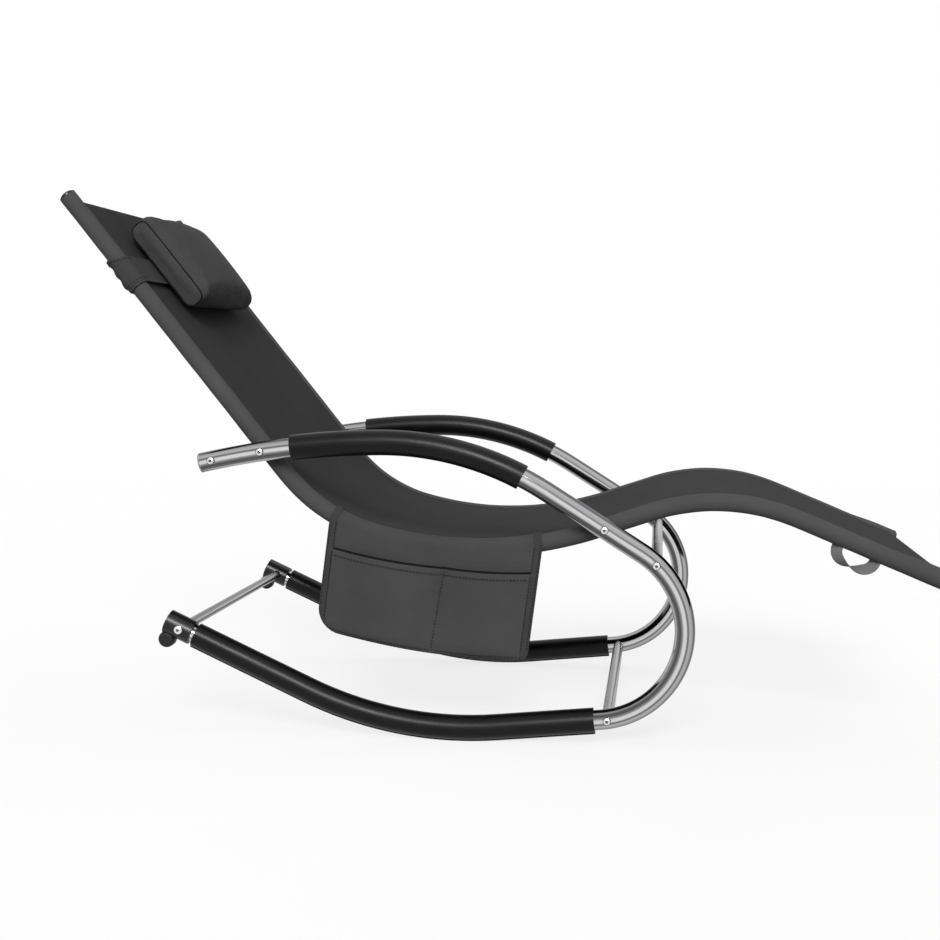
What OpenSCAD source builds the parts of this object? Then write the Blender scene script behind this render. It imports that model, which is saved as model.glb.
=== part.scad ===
// Rocking chaise lounge: two bent tube side loops that rock on the floor, a sling seat on two
// bent rails bolted between them, a sliding head pillow and a side bag.
// +X points to the feet, +Y to the sitter's left, +Z up. The origin lies on the floor, in the
// middle of the length and width.

/* [Side loops] */
// Outer diameter of the side loop tube
loop_d = 32; // [28:0.5:36]
// Wall of the side loop tube
loop_wall = 1.5; // [1.2:0.1:2.5]
// Distance between the centre lines of the two side loops
loop_track = 600; // [580:5:680]
// Length of the straight tail behind the rocker bend
tail_len = 256; // [200:1:300]
// Bend radius of the rocker
rocker_r = 600; // [500:5:800]
// Angle that the rocker bends through, in degrees
rocker_turn = 30.25; // [26:0.25:34]
// Slope of the tail at rest, in degrees
tail_slope = 24.5; // [20:0.25:27]
// Length of the straight run in front of the rocker bend
front_len = 168; // [140:1:220]
// Radius of the large front bend
front_r = 145; // [130:1:160]
// Angle of the large front bend, in degrees
front_turn = 141.9; // [138:0.1:145]
// Length of the straight rise from the front bend to the armrest
rise_len = 178; // [150:1:220]
// Bend radius of the front half of the armrest
arm_front_r = 490; // [400:5:600]
// Angle of the front half of the armrest, in degrees
arm_front_turn = 33; // [28:0.5:36]
// Bend radius of the rear half of the armrest
arm_rear_r = 1380; // [1100:10:1800]
// Angle of the rear half of the armrest, in degrees
arm_rear_turn = 12.3; // [10:0.1:14]

/* [Sleeves and caps] */
// Outer diameter of the foam sleeve on the armrest
arm_sleeve_d = 41; // [38:0.5:46]
// Length of bare tube behind the armrest sleeve
arm_sleeve_setback = 152; // [140:1:170]
// Length of the armrest sleeve
arm_sleeve_len = 381; // [300:1:400]
// Outer diameter of the rocker sleeve
rocker_sleeve_d = 40; // [38:0.5:46]
// Distance from the rear end of the loop to the rocker sleeve
rocker_sleeve_setback = 50; // [49:0.5:60]
// Length of the rocker sleeve
rocker_sleeve_len = 680; // [600:1:690]
// Width of the tread under the rocker sleeve
tread_w = 12; // [8:0.5:18]
// Height of the tread under the rocker sleeve
tread_h = 1; // [0.5:0.1:2]
// Outer diameter of the cap on the rear end of the loop
cap_d = 40; // [38:0.5:46]
// Length of the cap in front of the loop's end
cap_len = 44; // [40:0.5:46]
// Thickness of the closed rear wall of the cap
cap_end = 4; // [3:0.5:6]
// Width of the clamping slit under the cap
cap_slit = 3; // [2:0.5:5]
// Length of the clamping slit under the cap
cap_slit_len = 20; // [12:1:24]
// Diameter of the rubber bumper under the cap
bumper_d = 27; // [22:0.5:32]
// Width of the rubber bumper
bumper_w = 24; // [18:0.5:30]
// Distance of the bumper's centre below the tube's centre line
bumper_drop = 27; // [25:0.5:32]
// Distance of the bumper's centre from the loop's end
bumper_in = 9; // [5:0.5:14]
// Height of the flange of the plug in the armrest end
arm_plug_h = 2.5; // [2:0.5:5]

/* [Crossbars] */
// Outer diameter of the two front crossbars
bar_d = 19; // [16:0.5:22]
// Outer diameter of the rear crossbar
rear_bar_d = 16; // [14:0.5:18]
// Wall of the crossbars and of the head and foot bars
bar_wall = 2; // [1.5:0.1:2.5]
// Wall of the rear crossbar
rear_bar_wall = 1.2; // [1:0.1:1.5]
// Distance from the loop's rear end to the rear crossbar
rear_bar_in = 24; // [20:0.5:28]
// Distance past the start of the front bend to the lower crossbar
lower_bar_past = 10; // [8:0.5:30]
// Distance from the upper crossbar to the end of the front bend
upper_bar_before = 28; // [20:0.5:40]
// Length of the threaded insert in each crossbar end
insert_len = 24; // [18:1:32]

/* [Seat rails] */
// Outer diameter of the seat rails
rail_d = 25; // [22:0.5:28]
// Wall of the seat rails
rail_wall = 1.5; // [1.2:0.1:2]
// Distance across between the centre lines of a side loop and the seat rail beside it
rail_inset = 35; // [33:0.5:40]
// Length of the straight back
back_len = 580; // [480:1:620]
// Bend radius behind the hips
hip_r = 287; // [250:1:330]
// Angle of the bend behind the hips, in degrees
hip_turn = 36.4; // [32:0.1:40]
// Bend radius under the seat
seat_r = 624; // [560:1:700]
// Angle of the bend under the seat, in degrees
seat_turn = 33.65; // [30:0.05:36]
// Length of the straight run under the thighs
thigh_len = 86; // [80:1:120]
// Bend radius under the knees
knee_r = 327; // [280:1:380]
// Angle of the bend under the knees, in degrees
knee_turn = 41.6; // [36:0.1:46]
// Length of the straight run under the calves
leg_len = 244; // [200:1:300]
// Distance from the arm's end to the bolt that carries the back
back_bolt_setback = 102; // [90:0.5:112]
// Distance up the rise to the bolt that carries the seat
seat_bolt_rise = 70; // [60:0.5:80]
// Distance from the start of the thigh run to the bolt that carries the seat
seat_bolt_thigh = 12; // [8:0.5:14]
// Distance from the start of the thigh run to the joint between the back and leg rails
splice_at = 51; // [50:0.5:54]
// Length of the joiner inside the rails
joiner_len = 60; // [50:1:62]
// Wall of the joiner
joiner_wall = 1.5; // [1:0.1:2]
// Distance from the rail's head end to the head bar
head_bar_in = 24; // [18:0.5:40]
// Distance from the rail's foot end to the foot bar
foot_bar_in = 14; // [13:0.5:30]
// Length of the moulded saddle between a rail and the end of a head or foot bar
saddle_len = 5; // [3:0.5:8]
// Length of the stem of a plug or saddle inside its tube
stem_len = 15; // [10:1:18]
// Height of the domed plugs in the rail ends
rail_plug_h = 5; // [3:0.5:8]

/* [Fasteners] */
// Diameter of the bolts
bolt_d = 8; // [6:0.5:8]
// Diameter of the bolt heads
head_d = 11.5; // [11:0.5:14]
// Height of a bolt head over the tube
head_h = 3.5; // [3:0.5:4.5]
// Width across flats of the hexagon socket
socket_af = 5; // [4:0.5:6]
// Depth of the hexagon socket
socket_depth = 2; // [1:0.5:2]
// Diameter of the cap nuts on the inner side of the seat rails
nut_d = 14; // [12:0.5:16]
// Height of the cap nuts
nut_h = 7; // [5:0.5:10]
// Diameter of the spacers between the loops and the rails
spacer_d = 20; // [16:0.5:22]
// Diameter of the screw that holds the plug in the arm's end
plug_screw_d = 5; // [4:0.5:6]
// Distance from the arm's end to that screw
plug_screw_setback = 19.5; // [16:0.5:24]

/* [Sling] */
// Thickness of the sling fabric
sling_t = 1.6; // [1.2:0.1:2]
// Width of the pillow's elastic band
band_w = 65; // [40:1:70]
// Thickness of the pillow's elastic band
band_t = 1.6; // [1:0.1:2.5]
// Distance along the rail from the head end to the pillow's band
band_in = 117; // [100:1:140]

/* [Pillow] */
// Distance from the middle of the band to the middle of the pillow, toward the seat
pillow_past = 9; // [0:1:15]
// Width of the pillow
pillow_w = 340; // [260:1:400]
// Length of the pillow along the back
pillow_len = 168; // [130:1:200]
// Thickness of the pillow at its middle
pillow_t = 66; // [50:1:80]
// Height of the pillow's side panel
pillow_side = 43; // [25:1:48]
// How far the pillow's back swells behind the side panel
pillow_back = 5; // [2:0.5:12]
// Thickness of the pillow's quilted cover, round its loose filling
pillow_wall = 5; // [3:0.5:8]
// How far the pillow's sides draw in between the corners
pillow_waist = 5; // [0:0.5:10]

/* [Side bag] */
// Distance along the rail from the end of the straight back to the bag
bag_at = 94; // [80:1:120]
// Length of rail that the bag hangs on
bag_run = 361; // [280:1:380]
// Height of the bag under the line between its upper corners
bag_h = 190; // [150:1:210]
// Thickness of the bag's fabric
bag_t = 2; // [1.5:0.1:3]
// Depth of the two front pockets
pocket_depth = 12; // [10:0.5:20]
// Distance from the rail line down to the mouth of the pockets
mouth_drop = 42; // [30:1:80]
// Distance from the bag's rear edge to the seam between the pockets
seam_at = 182; // [150:1:200]
// Radius of the bag's lower rear corner
bag_rear_r = 28; // [12:1:40]
// Radius of the bag's lower front corner
bag_front_r = 12; // [8:1:40]
// Thickness of the tape round the bag's edge
tape_t = 1.2; // [1:0.1:2]

/* [Leg strap] */
// Distance along the rail from the knee bend to the first leg of the strap
strap_at = 76; // [40:1:100]
// Distance between the two legs of the strap
strap_gap = 62; // [50:1:80]
// Width of the webbing
strap_w = 20; // [15:1:25]
// Thickness of the webbing
strap_t = 1.6; // [1:0.1:2]

/* [Hidden] */
$fn = 96;

// Clearance between a sleeve, plug or insert and its tube
fit_gap = 0.2;
// Clearance of a bolt in its hole
hole_gap = 0.4;
// Clearance between the sling and the moving pillow band
slide_gap = 0.3;
// Overrun of a cut past the face that it leaves
over = 1;
// Gap between a crossbar's straight-cut saddle end and the loop, which may bend there
saddle_gap = 0.5;
// Hairline between the runs of a swept piece. A thinner core closes it, so that runs which
// are tangent to each other never share a face.
hair = 0.02;
// Length of the core, and its depth under the surface
core_len = 3;
core_in = 0.3;

deg = 180 / PI;
loop_r = loop_d / 2;
rail_r = rail_d / 2;
rail_track = loop_track - 2 * rail_inset;
ground = rocker_sleeve_d / 2 + tread_h;

// A tube path is a list of runs, each [length, bend radius]. A radius of 0 is a straight run,
// and a negative one bends downward. A pose is [x, z, heading in degrees].
function bend(r, turn) = [r * turn / deg, r];
function after(p, r, l) = r == 0
    ? [p[0] + l * cos(p[2]), p[1] + l * sin(p[2]), p[2]]
    : let (h = p[2] + l / r * deg)
      [p[0] + r * (sin(h) - sin(p[2])), p[1] - r * (cos(h) - cos(p[2])), h];
function pose_at(p, path, s, i = 0) = i == len(path) - 1 || s <= path[i][0]
    ? after(p, path[i][1], s)
    : pose_at(after(p, path[i][1], path[i][0]), path, s - path[i][0], i + 1);
function run_start(path, n) = n == 0 ? 0 : path[n - 1][0] + run_start(path, n - 1);
function beside(p, n) = [p[0] - n * sin(p[2]), p[1] + n * cos(p[2])];

LOOP = [
    [tail_len, 0], bend(rocker_r, rocker_turn), [front_len, 0], bend(front_r, front_turn),
    [rise_len, 0], bend(arm_front_r, arm_front_turn), bend(arm_rear_r, arm_rear_turn)
];
loop_len = run_start(LOOP, len(LOOP));
RAIL = [
    [back_len, 0], bend(hip_r, hip_turn), bend(seat_r, seat_turn), [thigh_len, 0],
    [knee_r * knee_turn / deg, -knee_r], [leg_len, 0]
];
rail_len = run_start(RAIL, len(RAIL));

// The loop's rear end, with the lowest point of the rocker at x = 0 on the floor
loop_rear = [
    -rocker_r * sin(tail_slope) - tail_len * cos(tail_slope),
    ground + rocker_r * (1 - cos(tail_slope)) + tail_len * sin(tail_slope), -tail_slope
];
rear_bar_s = rear_bar_in;
lower_bar_s = run_start(LOOP, 3) + lower_bar_past;
upper_bar_s = run_start(LOOP, 4) - upper_bar_before;
seat_bolt_s = run_start(LOOP, 4) + seat_bolt_rise;
back_bolt_s = loop_len - back_bolt_setback;

// The rails pass through the two bolts on the loops: the seat bolt fixes a point of the thigh
// run, and the slope of the back follows from the back bolt lying on the straight back.
rail_seat_s = run_start(RAIL, 3) + seat_bolt_thigh;
seat_local = pose_at([0, 0, 0], RAIL, rail_seat_s);
seat_bolt = pose_at(loop_rear, LOOP, seat_bolt_s);
back_bolt = pose_at(loop_rear, LOOP, back_bolt_s);
bolt_dx = seat_bolt[0] - back_bolt[0];
bolt_dz = seat_bolt[1] - back_bolt[1];
bolt_along = sqrt(bolt_dx * bolt_dx + bolt_dz * bolt_dz - seat_local[1] * seat_local[1]);
back_slope = atan2(bolt_dz, bolt_dx) - atan2(seat_local[1], bolt_along);
rail_back_s = seat_local[0] - bolt_along;
rail_head = [
    back_bolt[0] - rail_back_s * cos(back_slope),
    back_bolt[1] - rail_back_s * sin(back_slope), back_slope
];

sleeve_in = rail_r + fit_gap;
sleeve_out = sleeve_in + sling_t;
hem_in = bar_d / 2 + fit_gap;
hem_out = hem_in + sling_t;
rail_foot = pose_at(rail_head, RAIL, rail_len);

// Shift that puts the middle of the length at x = 0
head_x = rail_head[0] - rail_plug_h * cos(rail_head[2]) + sleeve_out * sin(rail_head[2]);
foot_x = rail_foot[0] - sleeve_out * sin(rail_foot[2]);
shift = -(head_x + foot_x) / 2;

function on_loop(s) = pose_at(loop_rear, LOOP, s) + [shift, 0, 0];
function on_rail(s) = pose_at(rail_head, RAIL, s) + [shift, 0, 0];

module right() mirror([0, 1, 0]) children();
module both() {
    children();
    right() children();
}

// Places children on a pose: X along the tube, Y across the object, Z square to the tube
module at(p) translate([p[0], 0, p[1]]) rotate([0, -p[2], 0]) children();

// Sweeps a flat profile along the stretch of a path from a to b. The profile's x is the
// object's Y, and its y is square to the path. The second child is the thinner core profile.
module sweep(p, path, a, b, i = 0) {
    if (i < len(path) && b > 0) {
        l = path[i][0];
        r = path[i][1];
        joined = a < l && b > l;
        from = a >= 0 ? a : hair;
        to = joined ? l : b;
        if (a < l)
            run(after(p, r, from), r, to - from) children(0);
        if (joined)
            at(after(p, r, l)) rotate([90, 0, 90]) translate([0, 0, -core_len / 2])
                linear_extrude(core_len) children(1);
        sweep(after(p, r, l), path, a - l, b - l, i + 1) {
            children(0);
            children(1);
        }
    }
}

module run(p, r, l) {
    if (r == 0)
        at(p) rotate([90, 0, 90]) linear_extrude(l) children();
    else if (r > 0)
        at(p) translate([0, 0, r]) rotate([90, 90, 0])
            rotate_extrude(angle = l / r * deg, $fn = 96)
            translate([r, 0]) mirror([0, 1]) rotate(90) children();
    else
        at(p) translate([0, 0, r]) rotate([-90, 0, 0]) rotate([0, 0, -90])
            rotate_extrude(angle = -l / r * deg, $fn = 96)
            translate([-r, 0]) mirror([0, 1]) rotate(-90) children();
}

module along_loop(a, b) sweep(loop_rear + [shift, 0, 0], LOOP, a, b) {
    children(0);
    children(1);
}
module along_rail(a, b) sweep(rail_head + [shift, 0, 0], RAIL, a, b) {
    children(0);
    children(1);
}

module ring(outer, inner) difference() {
    circle(outer);
    circle(inner);
}
// A tube along the loop or the rail from a to b
module loop_tube(a, b, outer, inner) translate([0, loop_track / 2, 0]) along_loop(a, b) {
    ring(outer, inner);
    ring(outer - core_in, inner + core_in);
}
module rail_tube(a, b, outer, inner) translate([0, rail_track / 2, 0]) along_rail(a, b) {
    ring(outer, inner);
    ring(outer - core_in, inner + core_in);
}

// A cylinder along Y from y0 to y1
module across(r, y0, y1) translate([0, y0, 0]) rotate([-90, 0, 0]) cylinder(r = r, h = y1 - y0);

// A straight cutter along a loop or rail at a pose, for hollowing a seat to fit it
module seat_cut(p, y, r) at(p) translate([0, y, 0]) rotate([0, 90, 0])
    cylinder(r = r, h = 4 * loop_d, center = true);

module side_loop() color("silver") difference() {
    loop_tube(0, loop_len, loop_r, loop_r - loop_wall);
    for (s = [rear_bar_s, lower_bar_s, upper_bar_s, seat_bolt_s, back_bolt_s])
        at(on_loop(s)) across(bolt_d / 2 + hole_gap / 2, loop_track / 2 - loop_d, loop_track / 2 + loop_d);
    at(on_loop(loop_len - plug_screw_setback))
        across(plug_screw_d / 2 + hole_gap / 2, loop_track / 2, loop_track / 2 + loop_d);
}
module side_loop_left() side_loop();
module side_loop_right() right() side_loop();

arm_sleeve_end = loop_len - arm_sleeve_setback;
module armrest_sleeve() color("dimgray")
    loop_tube(arm_sleeve_end - arm_sleeve_len, arm_sleeve_end, arm_sleeve_d / 2, loop_r + fit_gap);
module armrest_sleeve_left() armrest_sleeve();
module armrest_sleeve_right() right() armrest_sleeve();

// The rocker sleeve has a flat tread that rolls on the floor
module rocker_profile() difference() {
    union() {
        circle(rocker_sleeve_d / 2);
        translate([-tread_w / 2, -ground]) square([tread_w, ground]);
    }
    circle(loop_r + fit_gap);
}
module rocker_sleeve() color("dimgray") translate([0, loop_track / 2, 0])
    along_loop(rocker_sleeve_setback, rocker_sleeve_setback + rocker_sleeve_len) {
        rocker_profile();
        ring(rocker_sleeve_d / 2 - core_in, loop_r + fit_gap + core_in);
    }
module rocker_sleeve_left() rocker_sleeve();
module rocker_sleeve_right() right() rocker_sleeve();

// Cap on the loop's rear end: a socket with a domed end wall, a slit underneath, a hole for
// the rear crossbar on its inner side and one for the bolt on its outer side
dome_h = cap_end / 2;
dome_r = (cap_d * cap_d / 4 + dome_h * dome_h) / (2 * dome_h);
module rear_cap() color([0.1, 0.1, 0.1]) at(on_loop(0)) difference() {
    translate([0, loop_track / 2, 0]) rotate([0, 90, 0]) intersection() {
        translate([0, 0, -cap_end - fit_gap]) cylinder(d = cap_d, h = cap_end + fit_gap + cap_len);
        translate([0, 0, dome_r - cap_end - fit_gap]) sphere(dome_r, $fn = 96);
    }
    translate([-fit_gap, loop_track / 2, 0]) rotate([0, 90, 0])
        cylinder(r = loop_r + fit_gap, h = cap_len + over + fit_gap);
    translate([rear_bar_in, 0, 0]) across(rear_bar_d / 2 + fit_gap, 0, loop_track / 2);
    translate([rear_bar_in, 0, 0])
        across(bolt_d / 2 + hole_gap / 2, loop_track / 2, loop_track / 2 + cap_d);
    translate([cap_len - cap_slit_len, loop_track / 2 - cap_slit / 2, -cap_d])
        cube([cap_slit_len + over, cap_slit, cap_d]);
}
module rear_cap_left() rear_cap();
module rear_cap_right() right() rear_cap();

// Rubber bumper: a thick disc with a rounded rim on a neck that seats on the cap
rim_r = bumper_w / 4;
neck_w = bumper_w * 2 / 3;
neck_l = bumper_d * 2 / 3;
module rear_bumper() color([0.15, 0.15, 0.15]) at(on_loop(0)) difference() {
    translate([bumper_in, loop_track / 2, -bumper_drop]) union() {
        rotate([90, 0, 0]) rotate_extrude() bumper_half();
        translate([-neck_l / 2, -neck_w / 2, 0]) cube([neck_l, neck_w, bumper_drop]);
    }
    translate([-bumper_d, loop_track / 2, 0]) rotate([0, 90, 0])
        cylinder(d = cap_d + fit_gap, h = cap_len + 2 * bumper_d);
}
module bumper_half() {
    translate([0, rim_r - bumper_w / 2]) square([bumper_d / 2, bumper_w - 2 * rim_r]);
    translate([0, -bumper_w / 2]) square([bumper_d / 2 - rim_r, bumper_w]);
    for (y = [-1, 1])
        translate([bumper_d / 2 - rim_r, y * (bumper_w / 2 - rim_r)]) circle(rim_r);
}
module rear_bumper_left() rear_bumper();
module rear_bumper_right() right() rear_bumper();

// Plug in the open end of the armrest tube, held by a screw
plug_stem = plug_screw_setback + plug_screw_d;
module arm_end_plug() translate([0, loop_track / 2, 0]) difference() {
    union() {
        at(on_loop(loop_len)) rotate([0, 90, 0]) cylinder(r = loop_r, h = arm_plug_h);
        at(on_loop(loop_len)) translate([-plug_stem, 0, 0]) rotate([0, 90, 0])
            cylinder(r = loop_r - loop_wall - 2 * fit_gap, h = plug_stem + arm_plug_h / 2);
    }
    at(on_loop(loop_len - plug_screw_setback)) across(plug_screw_d / 2, -loop_r / 2, loop_d);
}
module arm_end_plugs() color([0.1, 0.1, 0.1]) both() arm_end_plug();

// A domed button head with a hexagon socket, over a tube of radius r, on a shank that
// reaches in. Children cut the head's underside to the tube.
module bolt(r, in, d, head) {
    dome = head_h / 2;
    ball = (head * head / 4 + dome * dome) / (2 * dome);
    difference() {
        intersection() {
            across(head / 2, 0, r + head_h);
            translate([0, r + head_h - ball, 0]) sphere(ball, $fn = 96);
        }
        translate([0, r + head_h - socket_depth, 0]) rotate([-90, 0, 0])
            cylinder(d = socket_af / cos(30), h = socket_depth + over, $fn = 6);
        children();
    }
    across(d / 2, -in, r + head_h / 4);
}

module arm_plug_screw() at(on_loop(loop_len - plug_screw_setback)) translate([0, loop_track / 2, 0])
    bolt(loop_r, loop_r / 2 - over, plug_screw_d - fit_gap, head_d)
        rotate([0, 90, 0]) cylinder(r = loop_r + fit_gap / 2, h = 2 * loop_d, center = true);
module arm_plug_screws() color("gray") both() arm_plug_screw();

// Crossbars: tubes whose ends are cut to sit on the loops
module crossbar(s, d, wall) color("silver") difference() {
    at(on_loop(s)) across(d / 2, -loop_track / 2, loop_track / 2);
    at(on_loop(s)) across(d / 2 - wall, -loop_track, loop_track);
    both() seat_cut(on_loop(s), loop_track / 2, loop_r + saddle_gap);
}
module rear_crossbar() crossbar(rear_bar_s, rear_bar_d, rear_bar_wall);
module lower_crossbar() crossbar(lower_bar_s, bar_d, bar_wall);
module upper_crossbar() crossbar(upper_bar_s, bar_d, bar_wall);

BORES = [
    [rear_bar_s, rear_bar_d / 2 - rear_bar_wall], [lower_bar_s, bar_d / 2 - bar_wall],
    [upper_bar_s, bar_d / 2 - bar_wall]
];
insert_out = loop_track / 2 - loop_r - saddle_gap;
module crossbar_inserts() color("dimgray") both() for (b = BORES)
    at(on_loop(b[0])) difference() {
        across(b[1] - fit_gap, insert_out - insert_len, insert_out);
        across(bolt_d / 2 + fit_gap / 2, insert_out - insert_len - over, insert_out + over);
    }

bolt_in = loop_r + insert_len - over;
module loop_bolt(s, in) at(on_loop(s)) translate([0, loop_track / 2, 0])
    bolt(loop_r, in, bolt_d, head_d) loop_cut();
module loop_cut() rotate([0, 90, 0])
    cylinder(r = loop_r + fit_gap / 2, h = 2 * loop_d, center = true);
module crossbar_bolts() color("gray") both() {
    loop_bolt(lower_bar_s, bolt_in);
    loop_bolt(upper_bar_s, bolt_in);
    at(on_loop(rear_bar_s)) translate([0, loop_track / 2, 0])
        bolt(cap_d / 2, bolt_in, bolt_d, head_d + head_h / 2) rotate([0, 90, 0])
            cylinder(r = cap_d / 2 + fit_gap / 2, h = 2 * loop_d, center = true);
}

// Seat rails: a back half and a leg half on each side, joined inside the sling's sleeve
splice_s = run_start(RAIL, 3) + splice_at;
module rail_part(a, b) color("silver") difference() {
    rail_tube(a, b, rail_r, rail_r - rail_wall);
    rail_holes(bolt_d / 2 + hole_gap / 2);
}
module rail_holes(r) for (s = [rail_back_s, rail_seat_s])
    at(on_rail(s)) across(r, rail_track / 2 - rail_d, rail_track / 2 + rail_d);
module back_rail_left() rail_part(0, splice_s - fit_gap / 2);
module back_rail_right() right() back_rail_left();
module leg_rail_left() rail_part(splice_s + fit_gap / 2, rail_len);
module leg_rail_right() right() leg_rail_left();

joiner_r = rail_r - rail_wall - fit_gap;
module rail_joiners() color("dimgray") both()
    rail_tube(splice_s - joiner_len / 2, splice_s + joiner_len / 2, joiner_r, joiner_r - joiner_wall);

// Domed plugs that close the rails and hold the sleeve's ends
plug_dome = rail_plug_h / 2;
plug_dome_r = (sleeve_out * sleeve_out + plug_dome * plug_dome) / (2 * plug_dome);
module rail_end_plug(p) at(p) translate([0, rail_track / 2, 0]) rotate([0, 90, 0]) {
    intersection() {
        cylinder(r = sleeve_out, h = rail_plug_h);
        translate([0, 0, rail_plug_h - plug_dome_r]) sphere(plug_dome_r, $fn = 96);
    }
    translate([0, 0, -stem_len]) cylinder(r = rail_r - rail_wall - fit_gap, h = stem_len);
}
module rail_end_plugs() color([0.1, 0.1, 0.1]) both() {
    rail_end_plug(on_rail(0) + [0, 0, 180]);
    rail_end_plug(on_rail(rail_len));
}

// Head and foot bars spread the rails. Moulded saddles at their ends sit on the rails.
saddle_y = rail_track / 2 - rail_r - saddle_len;
module spread_bar(s) color("silver") at(on_rail(s)) difference() {
    across(bar_d / 2, -saddle_y, saddle_y);
    across(bar_d / 2 - bar_wall, -rail_track, rail_track);
}
foot_bar_s = rail_len - foot_bar_in;
module head_bar() spread_bar(head_bar_in);
module foot_bar() spread_bar(foot_bar_s);
module bar_saddles() color([0.1, 0.1, 0.1]) both() for (s = [head_bar_in, foot_bar_s])
    difference() {
        at(on_rail(s)) {
            across(bar_d / 2, saddle_y, rail_track / 2);
            across(bar_d / 2 - bar_wall - fit_gap, saddle_y - stem_len, saddle_y);
        }
        seat_cut(on_rail(s), rail_track / 2, rail_r + fit_gap);
    }

// Spacers between loop and sling sleeve, their faces hollowed to both tubes
JOINTS = [[back_bolt_s, rail_back_s], [seat_bolt_s, rail_seat_s]];
module rail_spacers() color([0.1, 0.1, 0.1]) both() for (j = JOINTS) difference() {
    at(on_rail(j[1])) across(spacer_d / 2, rail_track / 2, loop_track / 2);
    at(on_rail(j[1])) across(bolt_d / 2 + hole_gap / 2, 0, loop_track);
    seat_cut(on_loop(j[0]), loop_track / 2, loop_r + fit_gap);
    seat_cut(on_rail(j[1]), rail_track / 2, sleeve_out + fit_gap);
}

inner_y = rail_track / 2 - sleeve_out - fit_gap;
module rail_bolts() color("gray") both() for (j = JOINTS)
    loop_bolt(j[0], loop_track / 2 - inner_y + nut_h / 2);
module rail_nuts() color("gray") both() for (j = JOINTS) at(on_rail(j[1])) difference() {
    union() {
        translate([0, inner_y, 0]) rotate([90, 30, 0]) cylinder(d = nut_d, h = nut_h * 2 / 3, $fn = 6);
        translate([0, inner_y, 0]) rotate([90, 0, 0]) cylinder(d = nut_d * 3 / 4, h = nut_h);
    }
    across(bolt_d / 2 + fit_gap / 2, inner_y - nut_h / 2 - fit_gap, inner_y + over);
}

// Sling: one sheet between two sleeves that slide over the rails, hemmed round both bars
sheet_n = hem_in - sling_t / 2;
module sling_profile(in) difference() {
    union() {
        for (y = [-1, 1])
            translate([y * rail_track / 2, 0]) circle(sleeve_out - in);
        translate([-rail_track / 2, sheet_n + in]) square([rail_track, sling_t - 2 * in]);
    }
    for (y = [-1, 1])
        translate([y * rail_track / 2, 0]) circle(sleeve_in + in);
}
module seat_sling() color([0.22, 0.22, 0.23]) difference() {
    union() {
        difference() {
            along_rail(0, rail_len) {
                sling_profile(0);
                sling_profile(core_in);
            }
            // The sheet ends at the bars, and the sleeves run on to the rail ends
            at(on_rail(head_bar_in)) translate([-rail_track, -inner_y, 0])
                cube([rail_track, 2 * inner_y, rail_d]);
            at(on_rail(foot_bar_s)) translate([0, -inner_y, 0])
                cube([rail_track, 2 * inner_y, rail_d]);
        }
        for (s = [head_bar_in, foot_bar_s]) difference() {
            at(on_rail(s)) across(hem_out, -rail_track / 2, rail_track / 2);
            both() seat_cut(on_rail(s), rail_track / 2, sleeve_in + core_in);
        }
    }
    for (s = [head_bar_in, foot_bar_s])
        at(on_rail(s)) across(hem_in, -rail_track / 2, rail_track / 2);
    both() rail_holes(bolt_d / 2 + hole_gap / 2);
}

// Elastic band of the pillow: a flat loop round both rails that slides along the back
band_in_r = sleeve_out + slide_gap;
band_out_r = band_in_r + band_t;
module stadium(r) {
    for (y = [-1, 1])
        translate([y * rail_track / 2, 0]) circle(r);
    translate([-rail_track / 2, -r]) square([rail_track, 2 * r]);
}
module pillow_band() color([0.16, 0.16, 0.17])
    at(on_rail(band_in)) rotate([90, 0, 90]) linear_extrude(band_w) difference() {
        stadium(band_out_r);
        stadium(band_in_r);
    }

// Pillow: rings of points from the middle of its back over the side panel to its crown. Each
// level has the share of the half width that it reaches and its share of the height there.
// The cover is hollow, because the loose filling in it weighs next to nothing.
LEVEL_SHARES = [
    [0.3, -0.98], [0.6, -0.88], [0.8, -0.76], [0.93, -0.62], [0.99, -0.53], [1, -0.46],
    [0.985, -0.25], [0.98, 0], [0.985, 0.25], [1, 0.46], [0.99, 0.53], [0.93, 0.62],
    [0.8, 0.76], [0.6, 0.88], [0.3, 0.98]
];
HOLLOW_SHARES = [[0.6, -0.88], [0.93, -0.62], [1, -0.46], [0.98, 0], [1, 0.46], [0.93, 0.62], [0.6, 0.88]];
corner_power = 5;
ring_points = 56;
pillow_front = pillow_t - pillow_side - pillow_back;
pillow_mid = band_out_r + fit_gap + pillow_back + pillow_side / 2;
function pow_sign(v, e) = sign(v) * pow(abs(v), e);
function pillow_ring(share, z, n) = [
    for (i = [0 : n - 1])
        let (
            a = 360 * i / n, c = pow_sign(cos(a), 2 / corner_power),
            s = pow_sign(sin(a), 2 / corner_power),
            rx = pillow_len / 2 - pillow_waist * (1 - s * s),
            ry = pillow_w / 2 - pillow_waist * (1 - c * c)
        ) [rx * c * share, ry * s * share, z]
];
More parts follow.
